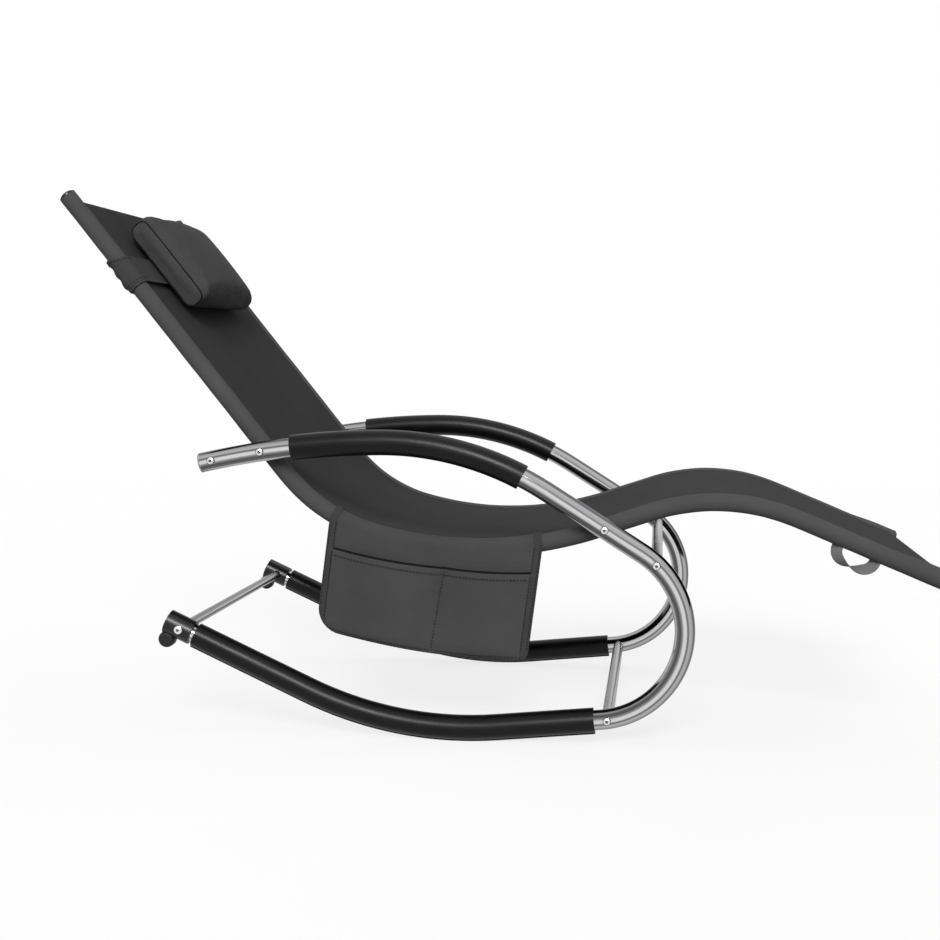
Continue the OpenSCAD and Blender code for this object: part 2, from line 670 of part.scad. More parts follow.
// Height at a share of the side panel, or past it at a share of the front or back crown
function side_height(h) = abs(h) <= 0.5
    ? h * pillow_side
    : sign(h) * pillow_side / 2 + (2 * h - sign(h)) * (h > 0 ? pillow_front : pillow_back);
function pillow_points(levels, n, shares) = [
    for (p = concat(
        [for (l = levels) each pillow_ring(l[0], side_height(l[1]), n)],
        [[0, 0, side_height(-1)], [0, 0, side_height(1)]]
    )) [p[0] * shares[0], p[1] * shares[1], p[2] * shares[2]]
];
function pillow_faces(n, m) = concat(
    [for (k = [0 : m - 2], i = [0 : n - 1]) [k * n + i, (k + 1) * n + i, k * n + (i + 1) % n]],
    [for (k = [0 : m - 2], i = [0 : n - 1])
        [k * n + (i + 1) % n, (k + 1) * n + i, (k + 1) * n + (i + 1) % n]],
    [for (i = [0 : n - 1]) [n * m, i, (i + 1) % n]],
    [for (i = [0 : n - 1]) [n * m + 1, (m - 1) * n + (i + 1) % n, (m - 1) * n + i]]
);
module pillow_form(levels, n, shares)
    polyhedron(points = pillow_points(levels, n, shares), faces = pillow_faces(n, len(levels)));
module pillow() color([0.24, 0.24, 0.25])
    at(on_rail(band_in + band_w / 2 + pillow_past)) translate([0, 0, pillow_mid]) difference() {
        pillow_form(LEVEL_SHARES, ring_points, [1, 1, 1]);
        pillow_form(HOLLOW_SHARES, ring_points / 2, [
            1 - 2 * pillow_wall / pillow_len, 1 - 2 * pillow_wall / pillow_w,
            1 - 2 * pillow_wall / pillow_t
        ]);
    }

// Bag: its back panel folds over the right rail's sleeve, where it is sewn, and hangs down on
// the outer side. Its outline is drawn under the line between its two upper corners.
bag_s = back_len + bag_at;
bag_a = on_rail(bag_s);
bag_b = on_rail(bag_s + bag_run);
bag_slope = atan2(bag_b[1] - bag_a[1], bag_b[0] - bag_a[0]);
bag_w = sqrt(pow(bag_b[0] - bag_a[0], 2) + pow(bag_b[1] - bag_a[1], 2));
bag_y = rail_track / 2 + sleeve_out + fit_gap;
function bag_xy(p) = let (dx = p[0] - bag_a[0], dz = p[1] - bag_a[1])
    [dx * cos(bag_slope) + dz * sin(bag_slope), dz * cos(bag_slope) - dx * sin(bag_slope)];
top_steps = 24;
// Points under the rail line, lowered by drop square to the rail
function rail_line(drop) = [
    for (i = [0 : top_steps]) bag_xy(beside(on_rail(bag_s + bag_run * i / top_steps), -drop))
];
module below_rail(drop) polygon(concat(
    [[-bag_w, -bag_h - bag_w], [-bag_w, rail_line(drop)[0][1]]], rail_line(drop),
    [[2 * bag_w, rail_line(drop)[top_steps][1]], [2 * bag_w, -bag_h - bag_w]]
));
// The bag's outline, taken in by inset on both sides and below
module bag_outline(inset) {
    translate([inset, bag_rear_r - bag_h]) square([bag_w - 2 * inset, bag_h]);
    translate([bag_rear_r, inset - bag_h]) square([bag_w - bag_rear_r - bag_front_r, bag_h]);
    translate([bag_rear_r, bag_rear_r - bag_h]) circle(bag_rear_r - inset);
    translate([bag_w - bag_front_r, bag_front_r - bag_h]) circle(bag_front_r - inset);
    translate([bag_w - bag_rear_r, bag_front_r - bag_h])
        square([bag_rear_r - inset, bag_h - bag_front_r]);
}
module bag_shape(inset, drop) intersection() {
    bag_outline(inset);
    below_rail(drop);
}
// Stands a flat shape up in the bag's plane, y0 to y1 from the object's middle
module hang(y0, y1) translate([bag_a[0], -y0, bag_a[1]]) rotate([0, -bag_slope, 0])
    rotate([90, 0, 0]) linear_extrude(y1 - y0) children();

flap_in = sleeve_out + fit_gap;
module bag_back_panel() color([0.2, 0.2, 0.21]) {
    right() translate([0, rail_track / 2, 0]) along_rail(bag_s, bag_s + bag_run) {
        bag_flap(0);
        bag_flap(core_in);
    }
    hang(bag_y, bag_y + bag_t) bag_shape(0, rail_r / 4);
}
module bag_flap(in) intersection() {
    ring(flap_in + bag_t - in, flap_in + in);
    union() {
        translate([0, -rail_r / 2]) square([2 * rail_d, 2 * rail_d]);
        translate([-rail_r / 4, 0]) square([2 * rail_d, 2 * rail_d]);
    }
}

pocket_y0 = bag_y + bag_t;
pocket_y1 = pocket_y0 + pocket_depth + bag_t;
module bag_pockets() color([0.23, 0.23, 0.24]) difference() {
    hang(pocket_y0, pocket_y1) bag_shape(0, mouth_drop);
    hang(pocket_y0 - over, pocket_y1 - bag_t) difference() {
        bag_shape(bag_t, 0);
        translate([seam_at - bag_t / 2, -bag_h]) square([bag_t, bag_h]);
    }
}

tape_y1 = pocket_y1 + tape_t;
module bag_edge_tape() color([0.08, 0.08, 0.08]) {
    hang(bag_y, tape_y1) tape_shape(mouth_drop);
    hang(bag_y, bag_y + bag_t + tape_t) tape_shape(sleeve_out);
}
module tape_shape(drop) intersection() {
    difference() {
        bag_outline(-fit_gap - tape_t);
        bag_outline(-fit_gap);
    }
    below_rail(drop);
}

// Webbing loop under the right leg rail: two legs and a half round between them
strap_s = run_start(RAIL, 5) + strap_at;
strap_leg = strap_w / 10;
strap_top = sleeve_out + fit_gap;
module leg_strap() color([0.45, 0.45, 0.46]) at(on_rail(strap_s + strap_gap / 2))
    translate([0, -rail_track / 2 - strap_w / 2, 0]) rotate([-90, 0, 0]) difference() {
        linear_extrude(strap_w) strap_shape();
        translate([-strap_gap, 0, strap_w / 2]) rotate([0, 90, 0])
            cylinder(r = strap_top, h = 2 * strap_gap);
    }
module strap_shape() {
    translate([0, strap_top - strap_leg]) difference() {
        circle(strap_gap / 2 + strap_t / 2);
        circle(strap_gap / 2 - strap_t / 2);
        translate([-strap_gap, -2 * strap_gap]) square(2 * strap_gap);
    }
    for (x = [-1, 1])
        translate([x * strap_gap / 2 - strap_t / 2, 0]) square([strap_t, strap_top - strap_leg]);
}

side_loop_right();
side_loop_left();
armrest_sleeve_right();
armrest_sleeve_left();
rocker_sleeve_right();
rocker_sleeve_left();
rear_cap_right();
rear_cap_left();
rear_bumper_right();
rear_bumper_left();
arm_end_plugs();
arm_plug_screws();
rear_crossbar();
lower_crossbar();
upper_crossbar();
crossbar_inserts();
crossbar_bolts();
back_rail_right();
back_rail_left();
leg_rail_right();
leg_rail_left();
rail_joiners();
rail_end_plugs();
head_bar();
foot_bar();
bar_saddles();
rail_spacers();
rail_bolts();
rail_nuts();
seat_sling();
pillow();
pillow_band();
bag_back_panel();
bag_pockets();
bag_edge_tape();
leg_strap();
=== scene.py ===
from math import ceil, cos, exp, floor, pi, radians, sin, sqrt

import bmesh
import bpy
from mathutils import Matrix, Vector
from mathutils.bvhtree import BVHTree


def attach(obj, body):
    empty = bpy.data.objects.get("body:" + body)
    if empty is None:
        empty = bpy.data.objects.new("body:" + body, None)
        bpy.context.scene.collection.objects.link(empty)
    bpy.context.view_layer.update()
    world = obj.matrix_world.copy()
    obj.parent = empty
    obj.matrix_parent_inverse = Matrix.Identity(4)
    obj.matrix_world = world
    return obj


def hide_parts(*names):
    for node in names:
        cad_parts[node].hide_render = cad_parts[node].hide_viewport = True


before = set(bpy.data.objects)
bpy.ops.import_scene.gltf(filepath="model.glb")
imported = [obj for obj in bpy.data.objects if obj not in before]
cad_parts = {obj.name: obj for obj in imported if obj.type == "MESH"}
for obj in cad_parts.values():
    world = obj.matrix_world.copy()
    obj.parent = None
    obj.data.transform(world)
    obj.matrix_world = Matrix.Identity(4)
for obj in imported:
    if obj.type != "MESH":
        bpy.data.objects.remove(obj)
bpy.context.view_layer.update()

scene = bpy.context.scene
collection = scene.collection
print("frame loaded")

# Camera at the photograph's place

camera = {
    "place": (0.2707, -2.5404, 0.6145),
    "tiltDown": 4.506,  # degrees
    "turnLeft": 7.638,
    "lens": 54.77,  # millimetres
}
cameraData = bpy.data.cameras.new("camera")
cameraData.lens = camera["lens"]
cameraObject = bpy.data.objects.new("camera", cameraData)
cameraObject.location = camera["place"]
cameraObject.rotation_euler = (radians(90 - camera["tiltDown"]), 0, radians(camera["turnLeft"]))
collection.objects.link(cameraObject)
scene.camera = cameraObject


# Colours, nodes and materials

def colour(code):
    parts = [int(code[i:i + 2], 16) / 255 for i in (1, 3, 5)]
    return tuple(c / 12.92 if c <= 0.04045 else ((c + 0.055) / 1.055) ** 2.4 for c in parts) + (1,)


# A socket's value is a number, a colour, a node's output, or a node for its first one
def addNode(tree, kind, sockets=None, **settings):
    made = tree.nodes.new(kind)
    for name, value in settings.items():
        setattr(made, name, value)
    for name, value in (sockets or {}).items():
        if isinstance(value, bpy.types.Node):
            value = value.outputs[0]
        if isinstance(value, bpy.types.NodeSocket):
            tree.links.new(value, made.inputs[name])
        else:
            made.inputs[name].default_value = value
    return made


def newMaterial(name):
    material = bpy.data.materials.new(name)
    material.use_nodes = True
    material.node_tree.nodes.clear()
    return material, material.node_tree


def setRamp(ramp, stops):
    ramp.elements[0].position, ramp.elements[0].color = stops[0][0], colour(stops[0][1])
    ramp.elements[-1].position, ramp.elements[-1].color = stops[-1][0], colour(stops[-1][1])
    for place, code in stops[1:-1]:
        ramp.elements.new(place).color = colour(code)


def waveScale(millimetres):
    return 314.16 / millimetres  # a wave texture repeats every 0.314 m at scale 1


def finishMaterial(tree, shader):
    output = addNode(tree, "ShaderNodeOutputMaterial")
    tree.links.new(shader.outputs[0], output.inputs["Surface"])


# Woven cloth: two sets of threads that cross, on the cloth's own UV map or in space
def wovenFabric(name, look):
    material, tree = newMaterial(name)
    coordinates = addNode(tree, "ShaderNodeTexCoord").outputs
    uv = coordinates["UV"] if look["uv"] else coordinates["Object"]
    across, along = [
        addNode(tree, "ShaderNodeTexWave", {"Vector": uv, "Scale": waveScale(look["pitch"]),
                "Distortion": 0.4, "Detail": 1.0, "Detail Scale": 2.0},
                bands_direction=axis).outputs["Fac"]
        for axis in ("X", "Y")
    ]
    threads = addNode(tree, "ShaderNodeMath", {0: across, 1: along}, operation="MULTIPLY")
    cloud = addNode(tree, "ShaderNodeTexNoise", {"Vector": coordinates["Object"], "Scale": 9.0,
        "Detail": 4.0, "Roughness": 0.55})
    folds = addNode(tree, "ShaderNodeTexNoise", {"Vector": coordinates["Object"],
        "Scale": look["foldScale"], "Detail": 2.0, "Distortion": 0.6})
    tone = addNode(tree, "ShaderNodeValToRGB", {"Fac": cloud})
    setRamp(tone.color_ramp, [(0.3, look["dark"]), (0.7, look["light"])])
    grain = addNode(tree, "ShaderNodeMix", {"Factor": threads, "A": tone,
        "B": colour(look["thread"])}, data_type="RGBA")
    weave = addNode(tree, "ShaderNodeBump", {"Strength": 0.25, "Distance": 0.0006,
        "Height": threads})
    crease = addNode(tree, "ShaderNodeBump", {"Strength": look["foldStrength"], "Distance": 0.006,
        "Height": folds, "Normal": weave})
    shader = addNode(tree, "ShaderNodeBsdfPrincipled", {"Base Color": grain.outputs["Result"],
        "Roughness": look["roughness"], "Specular IOR Level": look["specular"], "Normal": crease})
    finishMaterial(tree, shader)
    return material


# Moulded plastic, rubber, foam or paint: one colour with a fine pebbled skin
def mouldedSkin(name, look):
    material, tree = newMaterial(name)
    coordinates = addNode(tree, "ShaderNodeTexCoord").outputs
    cells = addNode(tree, "ShaderNodeTexVoronoi", {"Vector": coordinates["Object"],
        "Scale": 1000 / look["grain"]})
    cloud = addNode(tree, "ShaderNodeTexNoise", {"Vector": coordinates["Object"], "Scale": 14.0,
        "Detail": 3.0})
    tone = addNode(tree, "ShaderNodeValToRGB", {"Fac": cloud})
    setRamp(tone.color_ramp, [(0.3, look["dark"]), (0.7, look["light"])])
    skin = addNode(tree, "ShaderNodeBump", {"Strength": look["bump"], "Distance": 0.0008,
        "Height": cells})
    wear = addNode(tree, "ShaderNodeMapRange", {"Value": cloud,
        "To Min": look["roughness"] - 0.06, "To Max": look["roughness"] + 0.06})
    shader = addNode(tree, "ShaderNodeBsdfPrincipled", {"Base Color": tone, "Roughness": wear,
        "IOR": look["ior"], "Specular IOR Level": look["specular"], "Normal": skin})
    finishMaterial(tree, shader)
    return material


# A loop's inner side (-1) to its outer side (1): the normal against the way out from its middle
def loopSide(tree, coordinates, normalY):
    middleX, middleZ, squash = 0.02, 0.25, 0.35  # the squash evens out the loop's long shape
    outward = addNode(tree, "ShaderNodeMapping", {"Vector": coordinates["Object"],
        "Location": (-middleX * squash, 0, -middleZ), "Scale": (squash, 0, 1)})
    side = addNode(tree, "ShaderNodeVectorMath", {0: outward, 1: coordinates["Normal"]},
        operation="DOT_PRODUCT")
    sign = addNode(tree, "ShaderNodeMath", {0: side.outputs["Value"]}, operation="SIGN")
    square = addNode(tree, "ShaderNodeMath", {0: normalY, 1: normalY}, operation="MULTIPLY")
    rest = addNode(tree, "ShaderNodeMath", {0: 1.0, 1: square}, operation="SUBTRACT",
        use_clamp=True)
    root = addNode(tree, "ShaderNodeMath", {0: rest}, operation="SQRT")
    return addNode(tree, "ShaderNodeMath", {0: sign, 1: root}, operation="MULTIPLY")


# Metal with painted reflections: soft light and dark bands in its base colour that follow the tube,
# standing in for a studio's dark and light sides reflected in it
def paintedReflectionMetal(name, look):
    material, tree = newMaterial(name)
    coordinates = addNode(tree, "ShaderNodeTexCoord").outputs
    parts = addNode(tree, "ShaderNodeSeparateXYZ", {0: coordinates["Normal"]})
    if look["axis"] == "loop":
        place = loopSide(tree, coordinates, parts.outputs["Y"])
    elif look["axis"] == "Y":  # how square a face stands to a bolt's axis
        turned = addNode(tree, "ShaderNodeMath", {0: parts.outputs["Y"]}, operation="ABSOLUTE")
        place = addNode(tree, "ShaderNodeMath", {0: turned, 1: 2.0, 2: -1.0},
            operation="MULTIPLY_ADD")
    else:
        place = parts.outputs[look["axis"]]
    share = addNode(tree, "ShaderNodeMapRange", {"Value": place, "From Min": -1.0})
    bands = addNode(tree, "ShaderNodeValToRGB", {"Fac": share})
    setRamp(bands.color_ramp, look["bands"])
    haze = addNode(tree, "ShaderNodeTexNoise", {"Vector": coordinates["Object"], "Scale": 30.0,
        "Detail": 3.0})
    smear = addNode(tree, "ShaderNodeMapRange", {"Value": haze,
        "To Min": look["roughness"] - 0.04, "To Max": look["roughness"] + 0.05})
    shader = addNode(tree, "ShaderNodeBsdfPrincipled", {"Base Color": bands, "Metallic": 1.0,
        "Roughness": smear})
    finishMaterial(tree, shader)
    return material


# Pitches are in millimetres. Real threads are 0.5 mm apart and are drawn 2 to 3 mm apart, so
# that the cloth's grain still shows at this distance.

# Sling: polyester yarn woven plain and stretched, so flat, matt and an even dark grey, painted
# darker than its sleeves as shade on the flat sheet
slingFabric = {"uv": True, "pitch": 2.4, "dark": "#313132", "light": "#373738", "thread": "#3e3e3f",
    "foldScale": 5.0, "foldStrength": 0.1, "roughness": 0.92, "specular": 0.04}
# Sleeves: the same cloth bent round a rail, painted a shade lighter than the sling as the light on
# their rounded fronts
sleeveFabric = dict(slingFabric, dark="#444445", light="#4c4c4d", thread="#555556", foldScale=8.0,
    foldStrength=0.2, specular=0.1)
# Pillow: polyester woven looser over a soft filling, matt, with shallow hollows
pillowFabric = dict(slingFabric, uv=False, dark="#3e3e3f", light="#454546", thread="#4b4b4c",
    foldScale=14.0, foldStrength=0.2, specular=0.06)
# Bag: woven polyester that hangs slack, so soft creases cross its even grey
bagFabric = dict(slingFabric, dark="#3e3e3f", light="#474748", thread="#4e4e4f", foldScale=11.0,
    foldStrength=0.3, specular=0.1)
# Elastic: polyester knitted over rubber threads, coarser and dull
bandFabric = dict(slingFabric, dark="#393939", light="#424243", thread="#4a4a4b", pitch=3.0)
# Binding: narrow polyester tape woven dense, a shade darker than the bag
bindingFabric = dict(slingFabric, dark="#363637", light="#404041", thread="#4a4a4b", pitch=2.0)
# Webbing: thick polyester yarn woven flat, pale grey, with clear ribs
webbing = dict(slingFabric, dark="#5c5c5c", light="#7a7a7a", thread="#909090", pitch=3.0,
    roughness=0.7)
# Mouth shade: black cloth behind the pockets' mouth, painted shadow that shows as a dark line where
# the open mouth lies in shade
mouthShadeFabric = dict(slingFabric, dark="#161617", light="#1c1c1d", thread="#242425")
# Sewing thread: twisted black polyester, pulled into the cloth, with no shine of its own
threadFabric = dict(slingFabric, uv=False, dark="#121212", light="#1a1a1a", thread="#202020")
# Foam: closed-cell foam with the skin of its mould, near black, with a soft broad shine
foamSleeve = {"dark": "#080808", "light": "#101010", "grain": 2.0, "bump": 0.1, "roughness": 0.36,
    "ior": 1.5, "specular": 0.17}
# Black plastic: polypropylene from an eroded mould, satin and finely pebbled
blackPlastic = {"dark": "#080808", "light": "#101010", "grain": 1.5, "bump": 0.06,
    "roughness": 0.34, "ior": 1.49, "specular": 0.35}
# Grey plastic: the same polypropylene in pale grey, dull beside the chrome
greyPlastic = {"dark": "#8a8a8b", "light": "#989899", "grain": 1.5, "bump": 0.05, "roughness": 0.4,
    "ior": 1.49, "specular": 0.4}
# Rubber: moulded with a coarser pebbled skin, black and nearly without shine
bumperRubber = {"dark": "#090909", "light": "#101010", "grain": 1.5, "bump": 0.2, "roughness": 0.55,
    "ior": 1.52, "specular": 0.3}
# Loops: steel tube, bent, polished and chromed. Its light and dark lines along the tube are painted
# reflections in the base colour.
# The bands run from the loop's inner side (0) over its face to its outer side (1).
loopChrome = {"axis": "loop", "roughness": 0.1, "bands": [
    (0.0, "#4c4c4e"), (0.04, "#acacad"), (0.12, "#989899"), (0.19, "#5a5a5c"), (0.29, "#505052"),
    (0.37, "#8c8c8d"), (0.44, "#cfcfd0"), (0.56, "#d6d6d6"), (0.62, "#7c7c7e"), (0.67, "#707072"),
    (0.73, "#b2b2b3"), (0.85, "#9e9e9f"), (0.92, "#5c5c5e"), (1.0, "#3a3a3c")]}
# Rear crossbar: chromed tube of a duller polish, with painted reflections in lines from below (0) to
# above (1)
barChrome = {"axis": "Z", "roughness": 0.24, "bands": [
    (0.0, "#5c5c5e"), (0.3, "#5a5a5c"), (0.5, "#606062"), (0.6, "#88888a"), (0.73, "#b4b4b5"),
    (0.8, "#78787a"), (0.86, "#8a8a8b"), (0.91, "#525254"), (1.0, "#6a6a6c")]}
# Front crossbars: the same tube, with painted reflections in lines from behind (0) to the front (1)
postChrome = {"axis": "X", "roughness": 0.24, "bands": [
    (0.0, "#4e4e50"), (0.25, "#424244"), (0.42, "#4a4a4c"), (0.5, "#747475"), (0.62, "#a2a2a3"),
    (0.78, "#7e7e7f"), (0.9, "#747476"), (1.0, "#4e4e50")]}
# Bolts: zinc-plated steel, headed and pressed, with a painted highlight on faces square to the
# bolt's axis and painted shade on their edges
boltSteel = {"axis": "Y", "roughness": 0.26, "bands": [
    (0.0, "#2e2e30"), (0.6, "#3a3a3c"), (0.8, "#b8b8b9"), (1.0, "#eeeeee")]}
# Socket shade: painted shade, a dark plate at the bottom of a pressed hexagon socket, where little
# light reaches
socketShade = {"dark": "#3c3c3d", "light": "#4c4c4d", "grain": 1.0, "bump": 0.1, "roughness": 0.5,
    "ior": 1.5, "specular": 0.4}
# Painted tube: steel with baked powder paint, satin black with a faint orange peel
paintedTube = {"dark": "#161616", "light": "#1d1d1d", "grain": 1.2, "bump": 0.05, "roughness": 0.35,
    "ior": 1.5, "specular": 0.4}

materials = {
    "sling": wovenFabric("woven_polyester_sling", slingFabric),
    "sleeve": wovenFabric("woven_polyester_sleeve", sleeveFabric),
    "pillow": wovenFabric("woven_polyester_pillow", pillowFabric),
    "bag": wovenFabric("woven_polyester_bag", bagFabric),
    "band": wovenFabric("elastic_band", bandFabric),
    "binding": wovenFabric("binding_tape", bindingFabric),
    "webbing": wovenFabric("polyester_webbing", webbing),
    "lining": wovenFabric("woven_lining_tape", mouthShadeFabric),
    "thread": wovenFabric("sewing_thread", threadFabric),
    "foam": mouldedSkin("closed_cell_foam", foamSleeve),
    "black": mouldedSkin("black_polypropylene", blackPlastic),
    "grey": mouldedSkin("grey_polypropylene", greyPlastic),
    "bumper": mouldedSkin("moulded_rubber", bumperRubber),
    "loop": paintedReflectionMetal("polished_steel_loop", loopChrome),
    "bar": paintedReflectionMetal("polished_steel_bar", barChrome),
    "post": paintedReflectionMetal("polished_steel_spreader", postChrome),
    "bolt": paintedReflectionMetal("zinc_plated_steel", boltSteel),
    "socket": mouldedSkin("oiled_steel_socket", socketShade),
    "painted": mouldedSkin("powder_coated_steel", paintedTube),
}
# The CAD nodes of each material, by the start of their names
nodeMaterials = {
    "loop": ("side_loop",),
    "bar": ("rear_crossbar",),
    "post": ("lower_crossbar", "upper_crossbar"),
    "foam": ("armrest_sleeve", "rocker_sleeve"),
    "black": ("rear_cap", "rail_end_plugs", "bar_saddles", "rail_spacers", "crossbar_inserts"),
    "grey": ("arm_end_plugs",),
    "bumper": ("rear_bumper",),
    "bolt": ("arm_plug_screws", "crossbar_bolts", "rail_bolts", "rail_nuts"),
    "painted": ("back_rail", "leg_rail", "rail_joiners", "head_bar", "foot_bar"),
}
for name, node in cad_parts.items():
    for kind, starts in nodeMaterials.items():
        if name.startswith(starts):
            for materialSlot in node.material_slots:
                materialSlot.material = materials[kind]
print("materials made")


# The seat rail's line, as the CAD part has it: its head end, then runs of (length, bend radius)

rail = {
    "head": (-0.702276, 0.878097, radians(-51.2005)),  # x, z and heading
    "runs": [(0.580, 0), (0.182328, 0.287), (0.366474, 0.624), (0.086, 0), (0.237421, -0.327),
             (0.244, 0)],
    "track": 0.265,
    "sleeveInner": 0.0127,
    "sleeveOuter": 0.0143,
}
railLength = sum(run[0] for run in rail["runs"])


def railPose(s):
    x, z, heading = rail["head"]
    for i, (length, radius) in enumerate(rail["runs"]):
        step = s if i == len(rail["runs"]) - 1 else min(s, length)
        if radius:
            turned = heading + step / radius
            x += radius * (sin(turned) - sin(heading))
            z -= radius * (cos(turned) - cos(heading))
            heading = turned
        else:
            x += step * cos(heading)
            z += step * sin(heading)
        s -= step
        if s <= 0 and i < len(rail["runs"]) - 1:
            break
    return x, z, heading


# A point at s along the rail, n above its centre line and y across the seat
def railPoint(s, n, y):
    x, z, heading = railPose(s)
    return Vector((x - n * sin(heading), y, z + n * cos(heading)))


# The same for cloth that wraps the rail: a radius and an angle round it, 0 on its outer side
def roundRail(s, radius, angle, side):
    return railPoint(s, radius * sin(angle), side * (rail["track"] + radius * cos(angle)))


def steps(start, end, size):
    count = max(1, ceil(abs(end - start) / size))
    return [start + (end - start) * i / count for i in range(count + 1)]


def smoothStep(value):
    value = min(1, max(0, value))
    return value * value * (3 - 2 * value)


def hump(value, middle, width):
    return exp(-((value - middle) / width) ** 2)


# Making and finishing meshes

def newPiece(name, verts, faces):
    mesh = bpy.data.meshes.new(name)
    mesh.from_pydata([tuple(v) for v in verts], [], faces)
    mesh.polygons.foreach_set("use_smooth", [True] * len(mesh.polygons))
    mesh.update()
    piece = bpy.data.objects.new(name, mesh)
    collection.objects.link(piece)
    return piece


def turnOutward(piece):
    made = bmesh.new()
    made.from_mesh(piece.data)
    bmesh.ops.recalc_face_normals(made, faces=made.faces)
    made.to_mesh(piece.data)
    made.free()


def pickPiece(piece):
    bpy.ops.object.select_all(action="DESELECT")
    piece.select_set(True)
    bpy.context.view_layer.objects.active = piece


# Leaves the piece in edit mode with only the wanted faces selected
def pickFaces(piece, wanted):
    bpy.ops.object.mode_set(mode="EDIT")
    bpy.ops.mesh.select_mode(type="FACE")
    bpy.ops.mesh.select_all(action="DESELECT")
    bpy.ops.object.mode_set(mode="OBJECT")
    for face in piece.data.polygons:
        face.select = wanted(face)
    bpy.ops.object.mode_set(mode="EDIT")


def applyModifiers(piece):
    pickPiece(piece)
    for modifier in list(piece.modifiers):
        bpy.ops.object.modifier_apply(modifier=modifier.name)


def thicken(piece, thickness):
    solidify = piece.modifiers.new("Solidify", "SOLIDIFY")
    solidify.thickness = thickness
    solidify.offset = 0.0
    applyModifiers(piece)
    turnOutward(piece)
    bpy.ops.object.shade_smooth_by_angle(angle=radians(50))


def dress(piece, kind, body):
    piece.data.materials.clear()
    piece.data.materials.append(materials[kind])
    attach(piece, body)


# A sheet from a grid of points place(u, w), with u and w in metres as its UV map
def gridMesh(name, us, ws, place, wrap=0):
    verts = [place(u, w) for w in ws for u in us]
    count = len(us)
    faces, corners = [], []
    for j in range(len(ws) - 1):
        for i in range(count if wrap else count - 1):
            k = (i + 1) % count
            nextU = us[k] if k else us[0] + wrap
            faces.append((j * count + i, j * count + k, (j + 1) * count + k, (j + 1) * count + i))
            corners += [(us[i], ws[j]), (nextU, ws[j]), (nextU, ws[j + 1]), (us[i], ws[j + 1])]
    piece = newPiece(name, verts, faces)
    layer = piece.data.uv_layers.new(name="UVMap")
    for loop, corner in zip(layer.data, corners):
        loop.uv = corner
    return piece


def circle(centre, first, second, radius, sides):
    return [centre + (first * cos(2 * pi * k / sides) + second * sin(2 * pi * k / sides)) * radius
        for k in range(sides)]


def wall(start, nextStart, sides):
    return [(start + k, start + (k + 1) % sides, nextStart + (k + 1) % sides, nextStart + k)
        for k in range(sides)]


# A tube along points, closed at both ends or joined into a ring
def cordMesh(name, points, radius, sides, ring=False):
    count = len(points)
    verts, faces = [], []
    lastNormal = None
    for i, point in enumerate(points):
        before = points[i - 1] if i or ring else point
        after = points[(i + 1) % count] if i < count - 1 or ring else point
        tangent = (after - before).normalized()
        if lastNormal is None:
            lastNormal = tangent.orthogonal().normalized()
        normal = (lastNormal - tangent * lastNormal.dot(tangent)).normalized()
        lastNormal = normal
        verts += circle(point, normal, tangent.cross(normal), radius, sides)
    for i in range(count if ring else count - 1):
        faces += wall(i * sides, (i + 1) % count * sides, sides)
    if not ring:
        faces += [tuple(range(sides)), tuple((count - 1) * sides + k for k in range(sides))]
    piece = newPiece(name, verts, faces)
    turnOutward(piece)
    return piece


# Stitches: one short rounded stitch, copied along each row of (point, normal) pairs
stitch = {
    "pitch": 0.0055,
    "length": 0.0036,
    "radius": 0.00055,
    "sides": 6,
    "rings": ((-0.5, 0.35), (-0.25, 1), (0.25, 1), (0.5, 0.35)),  # place along it and fullness
}


def stitchRows(name, rows):
    verts, faces = [], []
    sides = stitch["sides"]
    for row in rows:
        lengths = [0]
        for (point, _), (nextPoint, _) in zip(row, row[1:]):
            lengths.append(lengths[-1] + (nextPoint - point).length)
        for number in range(floor(lengths[-1] / stitch["pitch"])):
            middle = (number + 0.5) * stitch["pitch"]
            k = max(i for i in range(len(lengths) - 1) if lengths[i] <= middle)
            part = (middle - lengths[k]) / (lengths[k + 1] - lengths[k])
            point = row[k][0].lerp(row[k + 1][0], part)
            normal = row[k][1].lerp(row[k + 1][1], part).normalized()
            along = (row[k + 1][0] - row[k][0]).normalized()
            side = along.cross(normal).normalized()
            start = len(verts)
            for shift, fullness in stitch["rings"]:
                verts += circle(point + along * shift * stitch["length"], side, normal,
                    stitch["radius"] * fullness, sides)
            for ring in range(3):
                faces += wall(start + ring * sides, start + (ring + 1) * sides, sides)
            faces += [tuple(start + i for i in range(sides)),
                tuple(start + 3 * sides + i for i in range(sides))]
    piece = newPiece(name, verts, faces)
    turnOutward(piece)
    return piece


# Bolts: a dark ring under each head, painted shade in the gap round the head, and a dark plate of
# painted shade at the bottom of its hexagon socket.
# Each is modelled once at the origin, facing -Y, and copied to every head.

marks = {
    "nodes": ["crossbar_bolts", "rail_bolts", "arm_plug_screws"],
    "outside": 0.29,  # heads lie further out than this
    "apart": 0.012,  # points nearer than this belong to one head
    "ringRadius": 0.00645,
    "ringWall": 0.0012,
    "ringRound": 0.0004,
    "ringBelow": 0.0019,
    "socketRadius": 0.0024,
    "socketDepth": 0.0008,
    "socketRim": 0.0006,
    "socketBelow": 0.0012,
}


